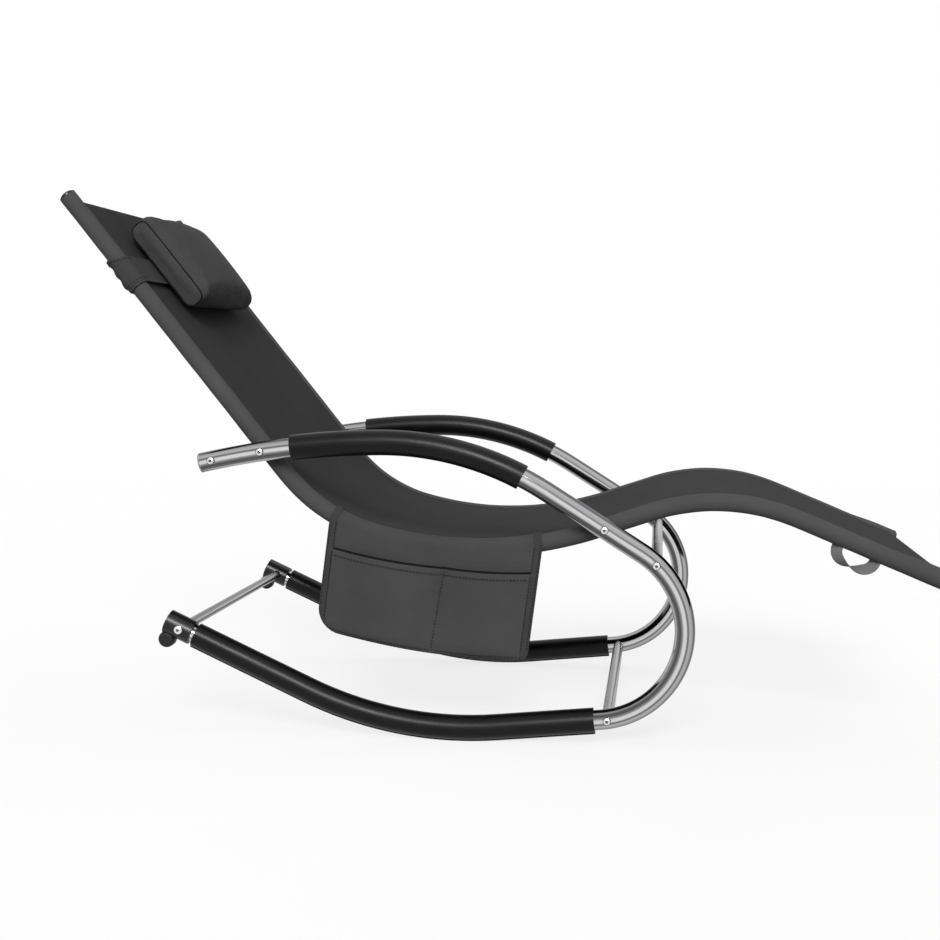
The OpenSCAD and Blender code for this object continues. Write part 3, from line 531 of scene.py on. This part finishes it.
def makeShadeRing():
    # Without a UV map, as the bridged faces would get a different one on each run
    bpy.ops.mesh.primitive_cylinder_add(vertices=24, radius=marks["ringRadius"],
        depth=marks["ringWall"], rotation=(pi / 2, 0, 0), calc_uvs=False)
    ring = bpy.context.object
    pickFaces(ring, lambda face: abs(face.normal.z) > 0.9)
    bpy.ops.mesh.inset(thickness=marks["ringWall"])
    bpy.ops.mesh.bridge_edge_loops()
    bpy.ops.mesh.select_all(action="SELECT")
    bpy.ops.mesh.normals_make_consistent(inside=False)
    bpy.ops.object.mode_set(mode="OBJECT")
    bpy.ops.object.transform_apply(location=False, rotation=True, scale=False)
    bevel = ring.modifiers.new("Bevel", "BEVEL")
    bevel.width = marks["ringRound"]
    bevel.segments = 2
    applyModifiers(ring)
    bpy.ops.object.shade_smooth_by_angle(angle=radians(50))
    return ring


def makeSocketShade():
    bpy.ops.mesh.primitive_cylinder_add(vertices=6, radius=marks["socketRadius"],
        depth=marks["socketDepth"], rotation=(pi / 2, 0, 0))
    socket = bpy.context.object
    pickFaces(socket, lambda face: face.normal.z > 0.9)
    bpy.ops.mesh.inset(thickness=marks["socketRim"], depth=-marks["socketRim"] / 2)
    bpy.ops.object.mode_set(mode="OBJECT")
    bpy.ops.object.transform_apply(location=False, rotation=True, scale=False)
    return socket


# The outermost point over the middle of each bolt head in a CAD node
def boltPlaces(nodeName):
    heads = []
    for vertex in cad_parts[nodeName].data.vertices:
        point = vertex.co.copy()
        if abs(point.y) < marks["outside"]:
            continue
        for head in heads:
            first = head[0]
            if (first.y * point.y > 0 and abs(first.x - point.x) < marks["apart"]
                    and abs(first.z - point.z) < marks["apart"]):
                head.append(point)
                break
        else:
            heads.append([point])
    places = []
    for head in heads:
        xs, ys, zs = zip(*head)
        places.append(Vector(((min(xs) + max(xs)) / 2, max(ys, key=abs), (min(zs) + max(zs)) / 2)))
    return places


boltNumber = 0
# The ring is painted shade round each head, in the rubber's black; the socket plate is painted shade
# too
boltMasters = [(makeShadeRing(), "boltShadeRing", marks["ringBelow"], "bumper"),
    (makeSocketShade(), "boltSocketShade", marks["socketBelow"], "socket")]
for nodeName in marks["nodes"]:
    for head in boltPlaces(nodeName):
        boltNumber += 1
        outward = 1 if head.y > 0 else -1
        turn = Matrix.Rotation(pi if outward > 0 else 0, 4, "Z")
        for master, name, below, kind in boltMasters:
            piece = master.copy()
            piece.data = master.data.copy()
            piece.name = "%s%02d" % (name, boltNumber)
            piece.data.transform(Matrix.Translation(head - Vector((0, outward * below, 0))) @ turn)
            collection.objects.link(piece)
            dress(piece, kind, "chair")
for master in boltMasters:
    bpy.data.objects.remove(master[0])
print("bolts marked", boltNumber)


# Sling: the sheet between the sleeves, hemmed in a drop-shaped loop round each bar

sling = {
    "halfWidth": 0.2562,
    "middle": 0.0097,  # height over the rails' centre line
    "thick": 0.0016,
    "headBar": 0.024,
    "footBar": railLength - 0.014,
    "hemRadius": 0.0105,
    "headStretch": 1.2,  # the head hem is longer than it is high
    "shoulder": (0.012, 0.0100),  # where a hem meets the sheet, from its bar
    "throat": (0.02, -0.001),  # where the hem's underside turns up to the sheet
    "flap": (0.038, 0.0076),  # the end of the hem's flap
    "stitching": 0.033,
    "sag": 0.0012,
    "edge": 0.0004,
    "ripple": 0.00012,
}


def slingPath():
    radius, head, foot = sling["hemRadius"], sling["headBar"], sling["footBar"]
    under = (sling["flap"], sling["throat"])
    path = [(head + s, n) for s, n in under]
    path += [(head + sling["headStretch"] * radius * cos(radians(a)), radius * sin(radians(a)))
        for a in range(-60, -271, -15)]
    path += [(head + sling["shoulder"][0], sling["shoulder"][1])]
    path += [(s, sling["middle"]) for s in steps(head + 0.03, foot - 0.03, 0.008)]
    path += [(foot - sling["shoulder"][0], sling["shoulder"][1])]
    path += [(foot + radius * cos(radians(a)), radius * sin(radians(a)))
        for a in range(90, -121, -15)]
    path += [(foot - s, n) for s, n in reversed(under)]
    return path


slingLine = slingPath()
slingRun = [0]
for first, second in zip(slingLine, slingLine[1:]):
    slingRun.append(slingRun[-1] + sqrt((first[0] - second[0]) ** 2 + (first[1] - second[1]) ** 2))
slingStation = dict(zip(slingRun, slingLine))


def placeSling(u, w):
    s, n = slingStation[w]
    free = smoothStep((s - 0.08) / 0.2) * smoothStep((railLength - 0.07 - s) / 0.2)
    edge = sling["edge"] * smoothStep((abs(u) - 0.243) / 0.013)
    slack = sling["sag"] * cos(pi * u / 0.52) * (0.6 + 0.4 * sin(9 * s + 1))
    ripple = sling["ripple"] * sin(31 * s + 3 * sin(9 * u))
    return railPoint(s, n + (edge - slack + ripple) * free, u)


slingSheet = gridMesh("slingSheet", steps(-sling["halfWidth"], sling["halfWidth"], 0.008), slingRun,
    placeSling)
thicken(slingSheet, sling["thick"])
dress(slingSheet, "sling", "chair")
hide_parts("seat_sling")

sleeve = {
    "middle": (rail["sleeveInner"] + rail["sleeveOuter"]) / 2,
    "thick": rail["sleeveOuter"] - rail["sleeveInner"] - 0.0002,
    "end": 0.0003,  # from each end of the rail
    "tipReach": 0.0072,  # how far the cloth turns in over the plug at the head end
    "tipShares": (0.994, 0.975, 0.94, 0.88, 0.78, 0.64, 0.46, 0.22),
    "swell": 0.0002,
    "pucker": 0.0005,
    "puckerPitch": 0.043,
    "looseFrom": 1.60,  # the sleeve hangs looser under the foot end
    "loose": 0.0032,
}
roundSleeve = 2 * pi * sleeve["middle"]


def placeSleeve(side):
    def place(u, w):
        a = u / sleeve["middle"]
        swell = sleeve["swell"] * sin(23 * w + 2 * a) * sin(57 * w + a)
        pucker = sleeve["pucker"] * (1 + sin(2 * pi * w / sleeve["puckerPitch"] + 2 * sin(11 * w)))
        loose = sleeve["loose"] * smoothStep((w - sleeve["looseFrom"]) / 0.06)
        radius = sleeve["middle"] + swell + pucker * hump(a, 2.25, 0.3) + loose * hump(a, 1.75, 0.7)
        if w < sleeve["end"]:
            share = min(0.995, (sleeve["end"] - w) / sleeve["tipReach"])
            radius *= (1 - share ** 2.2) ** 0.5
        return roundRail(w, radius, a, side)
    return place


for sideName, side in (("Right", -1), ("Left", 1)):
    tipSteps = [sleeve["end"] - sleeve["tipReach"] * share for share in sleeve["tipShares"]]
    slingSleeve = gridMesh("slingSleeve" + sideName, steps(0, roundSleeve, 0.0027)[:-1],
        tipSteps + steps(sleeve["end"], railLength - sleeve["end"], 0.009), placeSleeve(side),
        wrap=roundSleeve)
    thicken(slingSleeve, sleeve["thick"])
    dress(slingSleeve, "sleeve", "chair")
    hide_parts("seat_sling")


def hemRow(s):
    normal = railPoint(s, 0, 0) - railPoint(s, 1, 0)
    return [(railPoint(s, 0.0063, y), normal) for y in (-0.24, 0.24)]


slingStitches = stitchRows("slingStitches", [hemRow(sling["headBar"] + sling["stitching"]),
    hemRow(sling["footBar"] - sling["stitching"])])
dress(slingStitches, "thread", "chair")
print("sling made")


# Head pillow: a crowned wrap between two flat end panels, filled by a cloth simulation

pillow = {
    "middle": 0.1645,  # along the rail
    "lift": 0.0425,  # over the rails' centre line
    "halfLength": 0.0885,
    "halfWidth": 0.161,
    "shift": -0.011,  # it lies a little off the middle and askew, as it has slid on its band
    "skew": 0.008,
    "halfSide": 0.0255,  # half the height of an end panel
    "corner": 0.0165,
    "crown": 0.016,
    "taper": 0.012,
    "puff": {1: 0.009, -1: 0.003},  # how far the foot and head sides swell
    "edge": 0.004,
    "shrink": -0.001,  # the form that is simulated starts 1 mm larger on each side
    "cap": 0.0035,  # no point moves further in the simulation
    "voxel": 0.005,
    "pressure": 4,
    "frames": 20,
    "seam": 0.0012,
    "fill": 0.75,
}
panelCorners = ((1, 1, 0), (-1, 1, 90), (-1, -1, 180), (1, -1, 270))  # sides and first angle


# One round of the wrap at a share q of its width, from -1 to 1, drawn in by an inset
def pillowRound(q, inset):
    points = []
    inset = min(inset, 0.8 * pillow["halfSide"])
    thinner = pillow["taper"] * (q + 1) / 4
    halfLong, halfHigh = pillow["halfLength"] - inset, pillow["halfSide"] - thinner - inset
    corner = max(0.004, pillow["corner"] + 0.005 * (1 - q * q) - inset)
    crown = pillow["crown"] * (1 - abs(q) ** 2.2)
    for number, (sideS, sideN, start) in enumerate(panelCorners):
        for k in range(12):
            a = radians(start + 90 * k / 11)
            points.append((sideS * (halfLong - corner) + corner * cos(a),
                sideN * (halfHigh - corner) + corner * sin(a)))
        nextS, nextN, _ = panelCorners[(number + 1) % 4]
        s, n = points[-1]
        goS, goN = (nextS - sideS) * (halfLong - corner), (nextN - sideN) * (halfHigh - corner)
        count = 20 if sideN == nextN else 4
        points += [(s + goS * k / count, n + goN * k / count) for k in range(1, count)]
    shaped = []
    for s, n in points:
        front = max(0.0, (n + halfHigh) / (2 * halfHigh))
        across = 1 - (abs(s) / halfLong) ** 2.6
        way = 1 if s > 0 else -1
        n += crown * front ** 1.5 * (0.3 + 0.7 * across)
        n -= 0.004 * (1 - front) * (1 - q * q) * (1 - across)
        s += way * pillow["puff"][way] * (1 - q * q) * (1 - abs(2 * front - 1)) * abs(s) / halfLong
        shaped.append((pillow["middle"] + s, pillow["lift"] - thinner + n))
    return shaped


def onBack(q, s, n, y):
    return railPoint(s - pillow["skew"] * (q + 1) / 2, n, y + pillow["shift"])


def pillowForm(name, shrink):
    # Shares of the width and insets that round an end, from the middle of its panel outwards
    end = [(1, 0.018), (1, 0.009), (1, pillow["edge"]), (1 - 0.0012 / 0.17, 0.0022),
        (1 - 0.0042 / 0.17, 0.0003)]
    stations = [(-q, inset + shrink) for q, inset in end]
    stations += [(q, shrink) for q in steps(-0.95, 0.95, 0.045)]
    stations += [(q, inset + shrink) for q, inset in reversed(end)]
    verts, faces = [], []
    for q, inset in stations:
        y = q * (pillow["halfWidth"] - shrink)
        verts += [onBack(q, s, n, y) for s, n in pillowRound(q, inset)]
    count = len(verts) // len(stations)
    for k in range(len(stations) - 1):
        faces += wall(k * count, (k + 1) * count, count)
    last = (len(stations) - 1) * count
    faces += [tuple(reversed(range(count))), tuple(last + i for i in range(count))]
    piece = newPiece(name, verts, faces)
    turnOutward(piece)
    return piece


def fillPillow(piece):
    pickPiece(piece)
    remesh = piece.modifiers.new("Remesh", "REMESH")
    remesh.mode = "VOXEL"
    remesh.voxel_size = pillow["voxel"]
    bpy.ops.object.modifier_apply(modifier=remesh.name)
    before = [v.co.copy() for v in piece.data.vertices]
    cloth = piece.modifiers.new("Cloth", "CLOTH")
    cloth.settings.use_pressure = True
    cloth.settings.uniform_pressure_force = pillow["pressure"]
    cloth.settings.effector_weights.gravity = 0
    cloth.point_cache.frame_start = 1
    cloth.point_cache.frame_end = pillow["frames"]
    for number in range(1, pillow["frames"] + 1):
        scene.frame_set(number)
    bpy.context.view_layer.update()
    shaped = piece.evaluated_get(bpy.context.evaluated_depsgraph_get()).to_mesh()
    after = [v.co.copy() for v in shaped.vertices]
    piece.modifiers.clear()
    scene.frame_set(1)
    for vertex, old, new in zip(piece.data.vertices, before, after):
        move = new - old
        if move.length > pillow["cap"]:
            move *= pillow["cap"] / move.length
        vertex.co = old + move
    smooth = piece.modifiers.new("Smooth", "SMOOTH")
    smooth.factor = 0.5
    smooth.iterations = 2
    subdivide = piece.modifiers.new("Subdivision", "SUBSURF")
    subdivide.levels = 1
    applyModifiers(piece)


headPillow = pillowForm("headPillow", pillow["shrink"])
fillPillow(headPillow)
headPillow.data.polygons.foreach_set("use_smooth", [True] * len(headPillow.data.polygons))
dress(headPillow, "pillow", "head_pillow")
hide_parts("pillow")

# The seam cords lie on the filled pillow, round each end panel
pillowTree = BVHTree.FromObject(headPillow, bpy.context.evaluated_depsgraph_get())
for sideName, side in (("Right", -1), ("Left", 1)):
    seamPoints = []
    for s, n in pillowRound(1, 0.001):
        place, normal, _, _ = pillowTree.find_nearest(
            onBack(side, s, n, side * (pillow["halfWidth"] - 0.001)))
        seamPoints.append(place + normal * 0.0001)
    seam = cordMesh("pillowSeam" + sideName, seamPoints, pillow["seam"], sides=6, ring=True)
    dress(seam, "thread", "head_pillow")
print("pillow made")


# Elastic band: a flat loop round both rails, gathered where it turns under them

band = {
    "start": 0.127,  # along the rail
    "width": 0.064,
    "radius": 0.0154,
    "thick": 0.0014,
    "slant": 0.011,
    "gather": 0.0009,
    "gatherPitch": 0.0085,
    "folds": ((0.0042, 0.76, 0.13), (0.0026, 0.42, 0.11), (0.0022, 0.06, 0.07)),  # out, place, width
    "rims": ((0.0013, 0.975, 0.03), (0.0004, 0.015, 0.03)),
    "wave": 0.0012,
    "stitching": (0.005, 0.054, 0.0595),
}
bandTurn = pi * band["radius"]
bandAcross = 2 * rail["track"]
bandRound = 2 * (bandAcross + bandTurn)


# From the front of the left rail over the sheet to the right rail, round it and back behind:
# the place across, and which way the band faces there, up and out
def bandSection(u):
    u = u % bandRound
    if u < bandAcross:
        return rail["track"] - u, 1.0, 0.0
    if u < bandAcross + bandTurn:
        a = pi / 2 + (u - bandAcross) / band["radius"]
        return -rail["track"] + cos(a) * band["radius"], sin(a), cos(a)
    if u < 2 * bandAcross + bandTurn:
        return -rail["track"] + u - bandAcross - bandTurn, -1.0, 0.0
    a = -pi / 2 + (u - 2 * bandAcross - bandTurn) / band["radius"]
    return rail["track"] + cos(a) * band["radius"], sin(a), cos(a)


def placeBand(u, w):
    y, up, out = bandSection(u)
    t = w / band["width"]
    gather = 0.15 + 0.85 * smoothStep(-up * 1.4)
    push = 0.0002 + band["gather"] * gather * (
        0.5 + 0.5 * sin(2 * pi * u / band["gatherPitch"] + 1.7 * sin(9 * t)))
    if abs(y) > 0.25:
        under = max(0, -up) ** 1.5
        push += under * sum(size * hump(t, place, width) for size, place, width in band["folds"])
    push += sum(size * hump(t, place, width) for size, place, width in band["rims"])
    wave = band["wave"] * sin(2 * pi * u / 0.031) * gather
    s = band["start"] + w + wave * (2 * t - 1) + band["slant"] * (1 - t) * smoothStep((up + 1) / 2)
    return railPoint(s, (band["radius"] + push) * up, y + push * out)


bandTurns = [0, bandAcross, bandAcross + bandTurn, 2 * bandAcross + bandTurn, bandRound]
bandSteps = []
for start, end, size in zip(bandTurns, bandTurns[1:], (0.006, 0.0016, 0.0022, 0.0016)):
    bandSteps += [round(u, 6) for u in steps(start, end, size)[:-1]]
pillowBand = gridMesh("pillowBand", bandSteps, steps(0, band["width"], 0.0026), placeBand,
    wrap=bandRound)
thicken(pillowBand, band["thick"])
dress(pillowBand, "band", "head_pillow")
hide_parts("pillow_band")


# A row of stitches round the right rail, where the band is sewn together
def bandRow(w):
    row = []
    for u in steps(bandAcross - 0.012, bandAcross + bandTurn + 0.02, 0.003):
        _, up, out = bandSection(u)
        normal = railPoint(band["start"] + w, up, out) - railPoint(band["start"] + w, 0, 0)
        row.append((placeBand(u, w) + normal * 0.0008, normal))
    return row


bandStitches = stitchRows("bandStitches", [bandRow(w) for w in band["stitching"]])
dress(bandStitches, "thread", "head_pillow")
print("band made")


# Side bag: the back panel folds over the right rail's sleeve and hangs on the outer side

bag = {
    "start": 0.6837,  # along the rail
    "run": 0.3534,
    "origin": (-0.269107, 0.363682),  # x and z of the bag's own upper rear point
    "slope": radians(-7.47161),
    "rear": 0.0095,
    "width": 0.3465,
    "height": 0.190,
    "sag": 0.0115,
    "rearCorner": 0.036,
    "frontCorner": 0.012,
    "wrap": 0.0154,  # radius of the fold over the sleeve
    "wrapAngle": radians(104),
    "thick": 0.0016,
    "wave": 0.0008,
}
pocket = {
    "plane": 0.2830,  # distance of the pockets' edges from the chair's middle
    "drop": 0.139,
    "thick": 0.0014,
    "mouth": 0.064,
    "mouthCurve": 0.393,
    "mouthLow": 0.146,  # where the curved mouth hangs lowest
    "seam": 0.194,
    "lean": 0.005,
    "bulge": 0.013,
    "pucker": 0.0006,
    "cut": (0.364, 0.146),
    "hem": {"from": -0.0004, "to": 0.0105, "lift": 0.0011, "thick": 0.0010, "cut": (0.355, 0.0112)},
    "lining": {"from": -0.0036, "to": 0.006, "lift": -0.0016, "thick": 0.0008,
               "cut": (0.355, 0.0100)},
}
binding = {
    "width": 0.0125,
    "thick": 0.0011,
    "lift": 0.0015,
    "ridge": 0.0004,
    "ridges": (0.0025, 0.0105),
    "rim": 0.0014,  # radius of the fold round the edge
    "rimPlane": 0.2826,
}
bagDrop = bag["height"] + bag["sag"]
flapLength = bag["wrap"] * bag["wrapAngle"]


def railAt(u):
    return bag["start"] + bag["run"] * u / bag["width"]


# A point in the bag's own plane, at u along its slope and v up from it
def bagPoint(u, v, y):
    x, z = bag["origin"]
    c, s = cos(bag["slope"]), sin(bag["slope"])
    return Vector((x + u * c - v * s, y, z + u * s + v * c))


def bagChord(point):
    dx, dz = point[0] - bag["origin"][0], point[2] - bag["origin"][1]
    c, s = cos(bag["slope"]), sin(bag["slope"])
    return dx * c + dz * s, dz * c - dx * s


# The lower edge and the pockets' mouth, at u from the bag's rear edge
def bagLower(u):
    lower = -bag["height"] - bag["sag"] * sin(pi * min(1, max(0, u / bag["width"])))
    rear, front = bag["rearCorner"], bag["frontCorner"]
    if u < rear:
        lower += rear - sqrt(max(0, rear * rear - (rear - u) ** 2))
    if u > bag["width"] - front:
        gone = u - (bag["width"] - front)
        lower += front - sqrt(max(0, front * front - gone * gone))
    return lower


def mouthLine(u):
    return -pocket["mouth"] + pocket["mouthCurve"] * (u - pocket["mouthLow"]) ** 2


# u runs along the rail, and w down from the flap's inner edge to the lower edge
def placeBagPanel(u, w):
    s = railAt(u)
    if w < flapLength:
        return roundRail(s, bag["wrap"], bag["wrapAngle"] - w / bag["wrap"], -1)
    chordU, chordV = bagChord(railPoint(s, 0, 0))
    lower = bagLower(min(max(chordU - bag["rear"], 0), bag["width"]))
    share = (w - flapLength) / bagDrop
    wave = bag["wave"] * sin(17 * u + 3) * sin(pi * min(1, share))
    return bagPoint(chordU, chordV + (lower - chordV) * share, -(rail["track"] + bag["wrap"]) - wave)


bagWs = steps(0, flapLength, 0.0025)[:-1] + steps(flapLength, flapLength + bagDrop, 0.005)
edgeSteps = [0, 0.0003, 0.001, 0.002, 0.0035, 0.0055, 0.008]
bagUs = sorted(edgeSteps + steps(0.012, bag["width"] - 0.011, 0.005)
    + [bag["width"] - e for e in edgeSteps])
bagPanel = gridMesh("bagPanel", bagUs, bagWs, placeBagPanel)
thicken(bagPanel, bag["thick"])
dress(bagPanel, "bag", "chair")
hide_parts("bag_back_panel")


# How far a pocket stands out, at a share t of its depth: two bellies beside the middle seam
def pocketBulge(u, t):
    seamU = pocket["seam"] + pocket["lean"] * (0.5 - t)
    start, end = (0, seamU) if u < seamU else (seamU, bag["width"])
    across = max(0, sin(pi * (u - start) / (end - start))) ** 0.6
    down = 0.9 + 0.1 * sin(pi * min(1, 2 * t)) - 0.25 * smoothStep((t - 0.3) / 0.6)
    down *= sqrt(max(0, 1 - (max(0, t - 0.86) / 0.14) ** 2))
    return pocket["bulge"] * across * down


# u runs along the bag, and w down from the mouth to the lower edge
def placePocket(lift):
    def place(u, w):
        top, t = mouthLine(u), w / pocket["drop"]
        v = top + (bagLower(u) - top) * t
        pucker = pocket["pucker"] * exp(-(abs(u - pocket["seam"]) / 0.012)) * sin(2 * pi * v / 0.017)
        return bagPoint(bag["rear"] + u, v, -pocket["plane"] - lift - pocketBulge(u, t) - pucker)
    return place


pocketUs = sorted(bagUs + [pocket["seam"] + d for d in (-0.0035, -0.0015, 0, 0.0015, 0.0035)])
bagPockets = gridMesh("bagPockets", pocketUs, steps(0, pocket["drop"], 0.004), placePocket(0.0))
thicken(bagPockets, pocket["thick"])
dress(bagPockets, "bag", "chair")
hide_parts("bag_pockets")

# The hem along the pockets' mouth, and a black strip behind it that shows as a dark line over it:
# painted shadow of the open mouth
hemUs = [u for u in pocketUs if 0.008 < u < bag["width"] - 0.008]
for part, name, size, kind, slotName in (
        (pocket["hem"], "pocketHem", 0.0018, "bag", "bag_fabric"),
        (pocket["lining"], "pocketMouthShade", 0.0016, "lining", "binding_tape")):
    strip = gridMesh(name, hemUs, steps(part["from"], part["to"], size), placePocket(part["lift"]))
    thicken(strip, part["thick"])
    dress(strip, kind, "chair")
    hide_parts("bag_pockets")


# Binding: folded tape down each side, over the rail and round the lower edge
def placeBinding(front):
    def place(u, w):
        across = bag["width"] - u if front else u
        ridge = sum(binding["ridge"] * hump(u, middle, 0.0016) for middle in binding["ridges"])
        lift = binding["lift"] + ridge
        if w < flapLength:
            return roundRail(railAt(across), bag["wrap"] + lift,
                bag["wrapAngle"] - w / bag["wrap"], -1)
        chordU, v = bagChord(placeBagPanel(across, w))
        top, lower = mouthLine(across), bagLower(across)
        depth = smoothStep((top + 0.004 - v) / 0.008)
        t = min(1, max(0, (top - v) / (top - lower)))
        out = pocket["plane"] + pocketBulge(across, t) + pocket["hem"]["lift"]
        flat = rail["track"] + bag["wrap"] + lift
        return bagPoint(chordU, v, -(flat + (max(out + ridge, flat) - flat) * depth))
    return place


bindingWs = steps(0, flapLength, 0.0025)[:-1] + steps(flapLength, flapLength + bagDrop, 0.0025)
bindingUs = steps(0, binding["width"], 0.0014)
for sideName, front in (("Rear", False), ("Front", True)):
    tape = gridMesh("bagBinding" + sideName, bindingUs, bindingWs, placeBinding(front))
    thicken(tape, binding["thick"])
    dress(tape, "binding", "chair")
    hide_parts("bag_edge_tape")


# The side edge of the bag, from the rail to the lower edge, at u from its rear
def sideEdge(u):
    upper = bagChord(railPoint(railAt(u), 0, 0))[1] - 0.012
    return [bagPoint(bag["rear"] + u, v, -binding["rimPlane"])
        for v in steps(upper, bagLower(u) - 0.002, 0.006)]


rimUs = [0.0003, 0.0012, 0.003, 0.006, 0.010, 0.016, 0.024]
rimUs += steps(0.032, bag["width"] - 0.013, 0.006)
rimUs += [bag["width"] - back for back in (0.010, 0.006, 0.003, 0.0012, 0.0003)]
lowerEdge = [bagPoint(bag["rear"] + u, bagLower(u), -binding["rimPlane"]) for u in rimUs]
bagRim = cordMesh("bagRim", sideEdge(0) + lowerEdge + sideEdge(bag["width"])[::-1], binding["rim"],
    sides=10)
dress(bagRim, "binding", "chair")
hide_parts("bag_edge_tape")


def faceRow(points, lift=0.0009):
    outward = Vector((0, -1, 0))
    return [(point + outward * lift, outward) for point in points]


# The row that holds the flap, on the inner side of the rail
def flapRow():
    row = []
    for u in steps(0.004, bag["width"] - 0.004, 0.005):
        angle = bag["wrapAngle"] - 0.0035 / bag["wrap"]
        point = roundRail(railAt(u), bag["wrap"] + 0.0009, angle, -1)
        row.append((point, (point - railPoint(railAt(u), 0, -rail["track"])).normalized()))
    return row


onHem, onPocket = placePocket(0.0016), placePocket(0.0)
bagRows = [
    faceRow([onHem(u, 0.0088) for u in steps(0.015, bag["width"] - 0.015, 0.005)]),
    faceRow([onPocket(pocket["seam"] + pocket["lean"] * (0.5 - w / pocket["drop"]) - 0.0012, w)
             for w in steps(0.012, pocket["drop"] - 0.004, 0.005)], lift=0.0010),
    faceRow([onPocket(u, pocket["drop"] - 0.0045)
             for u in steps(0.02, bag["width"] - 0.012, 0.005)]),
]
for front in (False, True):
    for across in (0.0022, 0.0116):
        bagRows.append(faceRow([placeBinding(front)(across, w)
            for w in steps(flapLength + 0.004, flapLength + bagDrop - 0.012, 0.005)]))
bagRows.append(flapRow())
bagStitches = stitchRows("bagStitches", bagRows)
dress(bagStitches, "thread", "chair")
print("bag made")


# Webbing loop under the right leg rail: one turned length of tape sewn on at both ends

strap = {
    "first": 1.5225,  # along the rail
    "gap": 0.062,
    "top": -0.0128,
    "drop": 0.0245,
    "width": 0.019,
    "thick": 0.0014,
    "turn": 58,  # degrees that it leans at each end, one way and then the other
    "steps": 48,
}


# s and n on the loop's line, at a share t of the way round it
def strapFrame(t):
    middle = strap["first"] + strap["gap"] / 2
    return (middle - strap["gap"] / 2 * cos(pi * t),
        strap["top"] - strap["drop"] * sin(pi * t) ** 0.8)


strapPlaces = [Vector(strapFrame(i / strap["steps"])) for i in range(strap["steps"] + 1)]
strapRun = [0.0]
for first, second in zip(strapPlaces, strapPlaces[1:]):
    strapRun.append(strapRun[-1] + (second - first).length)
strapShare = {w: i / strap["steps"] for i, w in enumerate(strapRun)}


def placeStrap(u, w):
    t = strapShare[w]
    s, n = strapFrame(t)
    ahead, behind = Vector(strapFrame(min(1, t + 0.01))), Vector(strapFrame(max(0, t - 0.01)))
    along = (ahead - behind).normalized()
    turn = radians(strap["turn"]) * cos(pi * smoothStep(t))
    flat, lean = u * cos(turn), u * sin(turn)
    return railPoint(s - along[1] * lean, n + along[0] * lean, -rail["track"] - flat)


legStrap = gridMesh("legStrap", steps(-strap["width"] / 2, strap["width"] / 2, 0.002), strapRun,
    placeStrap)
thicken(legStrap, strap["thick"])
dress(legStrap, "webbing", "chair")
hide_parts("leg_strap")
print("strap made")


# Studio: pale floor, white backdrop for the camera, soft lamps

studio = {
    "size": 9.0,
    "fill": 0.35,  # the world's light on the chair
    "paper": 0.78,  # how far the camera sees the floor as plain white paper
}


# 1 for the camera's rays and for those that a shiny surface sends on, else 0
def seenRays(tree):
    rays = addNode(tree, "ShaderNodeLightPath")
    seen = addNode(tree, "ShaderNodeMath", {0: rays.outputs["Is Camera Ray"],
        1: rays.outputs["Is Glossy Ray"]}, operation="MAXIMUM")
    return rays, seen


# Matt paper: pressed white fibres, which give a plain, even floor without any shine
bpy.ops.mesh.primitive_grid_add(x_subdivisions=4, y_subdivisions=4, size=studio["size"])
floorPiece = bpy.context.object
floorPiece.name = "floor"
floorMaterial, floorTree = newMaterial("matt_paper_floor")
fibres = addNode(floorTree, "ShaderNodeTexNoise", {"Scale": 40.0, "Detail": 2.0})
floorTone = addNode(floorTree, "ShaderNodeValToRGB", {"Fac": fibres})
setRamp(floorTone.color_ramp, [(0.3, "#fafafa"), (0.7, "#fdfdfd")])
floorShader = addNode(floorTree, "ShaderNodeBsdfPrincipled", {
    "Base Color": floorTone, "Roughness": 0.95, "Specular IOR Level": 0.05})
_, floorSeen = seenRays(floorTree)
floorShare = addNode(floorTree, "ShaderNodeMath", {0: floorSeen, 1: studio["paper"]},
    operation="MULTIPLY")
floorWhite = addNode(floorTree, "ShaderNodeEmission", {"Color": colour("#ffffff"), "Strength": 1.0})
floorBlend = addNode(floorTree, "ShaderNodeMixShader", {0: floorShare, 1: floorShader,
    2: floorWhite})
finishMaterial(floorTree, floorBlend)
floorPiece.data.materials.append(floorMaterial)
floorPiece.visible_diffuse = False  # the paper throws no light back up, so undersides stay dark

world = bpy.data.worlds.new("studio")
world.use_nodes = True
scene.world = world
worldTree = world.node_tree
worldTree.nodes.clear()
worldRays, worldSeen = seenRays(worldTree)
worldShown = addNode(worldTree, "ShaderNodeMath", {0: worldSeen,
    1: worldRays.outputs["Is Transmission Ray"]}, operation="MAXIMUM")
strength = addNode(worldTree, "ShaderNodeMapRange", {"Value": worldShown,
    "To Min": studio["fill"], "To Max": 1.0})
backdrop = addNode(worldTree, "ShaderNodeBackground", {"Color": colour("#ffffff"),
    "Strength": strength})
addNode(worldTree, "ShaderNodeOutputWorld", {"Surface": backdrop})

# Wide softboxes light the surfaces, and a narrow one gives shiny parts their bright line
softboxes = [  # name, direction, strength, angle in degrees and what it lights
    ("keySoftbox", (0.1, -1.0, 0.62), 2.6, 30, "fill"),
    ("keyGleam", (0.1, -1.0, 0.62), 3.0, 10, "gleam"),
    ("topSoftbox", (0.5, 0.3, 1.0), 0.4, 70, "both"),
    ("rearSoftbox", (-0.8, 1.0, 0.3), 1.2, 60, "fill"),
]
for name, toward, energy, angle, part in softboxes:
    data = bpy.data.lights.new(name, "SUN")
    data.energy = energy
    data.angle = radians(angle)
    holder = bpy.data.objects.new(name, data)
    holder.location = Vector(toward).normalized() * 3
    holder.rotation_euler = holder.location.to_track_quat("Z", "Y").to_euler()
    holder.visible_diffuse = part != "gleam"
    holder.visible_glossy = part != "fill"
    collection.objects.link(holder)

scene.view_settings.view_transform = "Standard"
print("studio made")
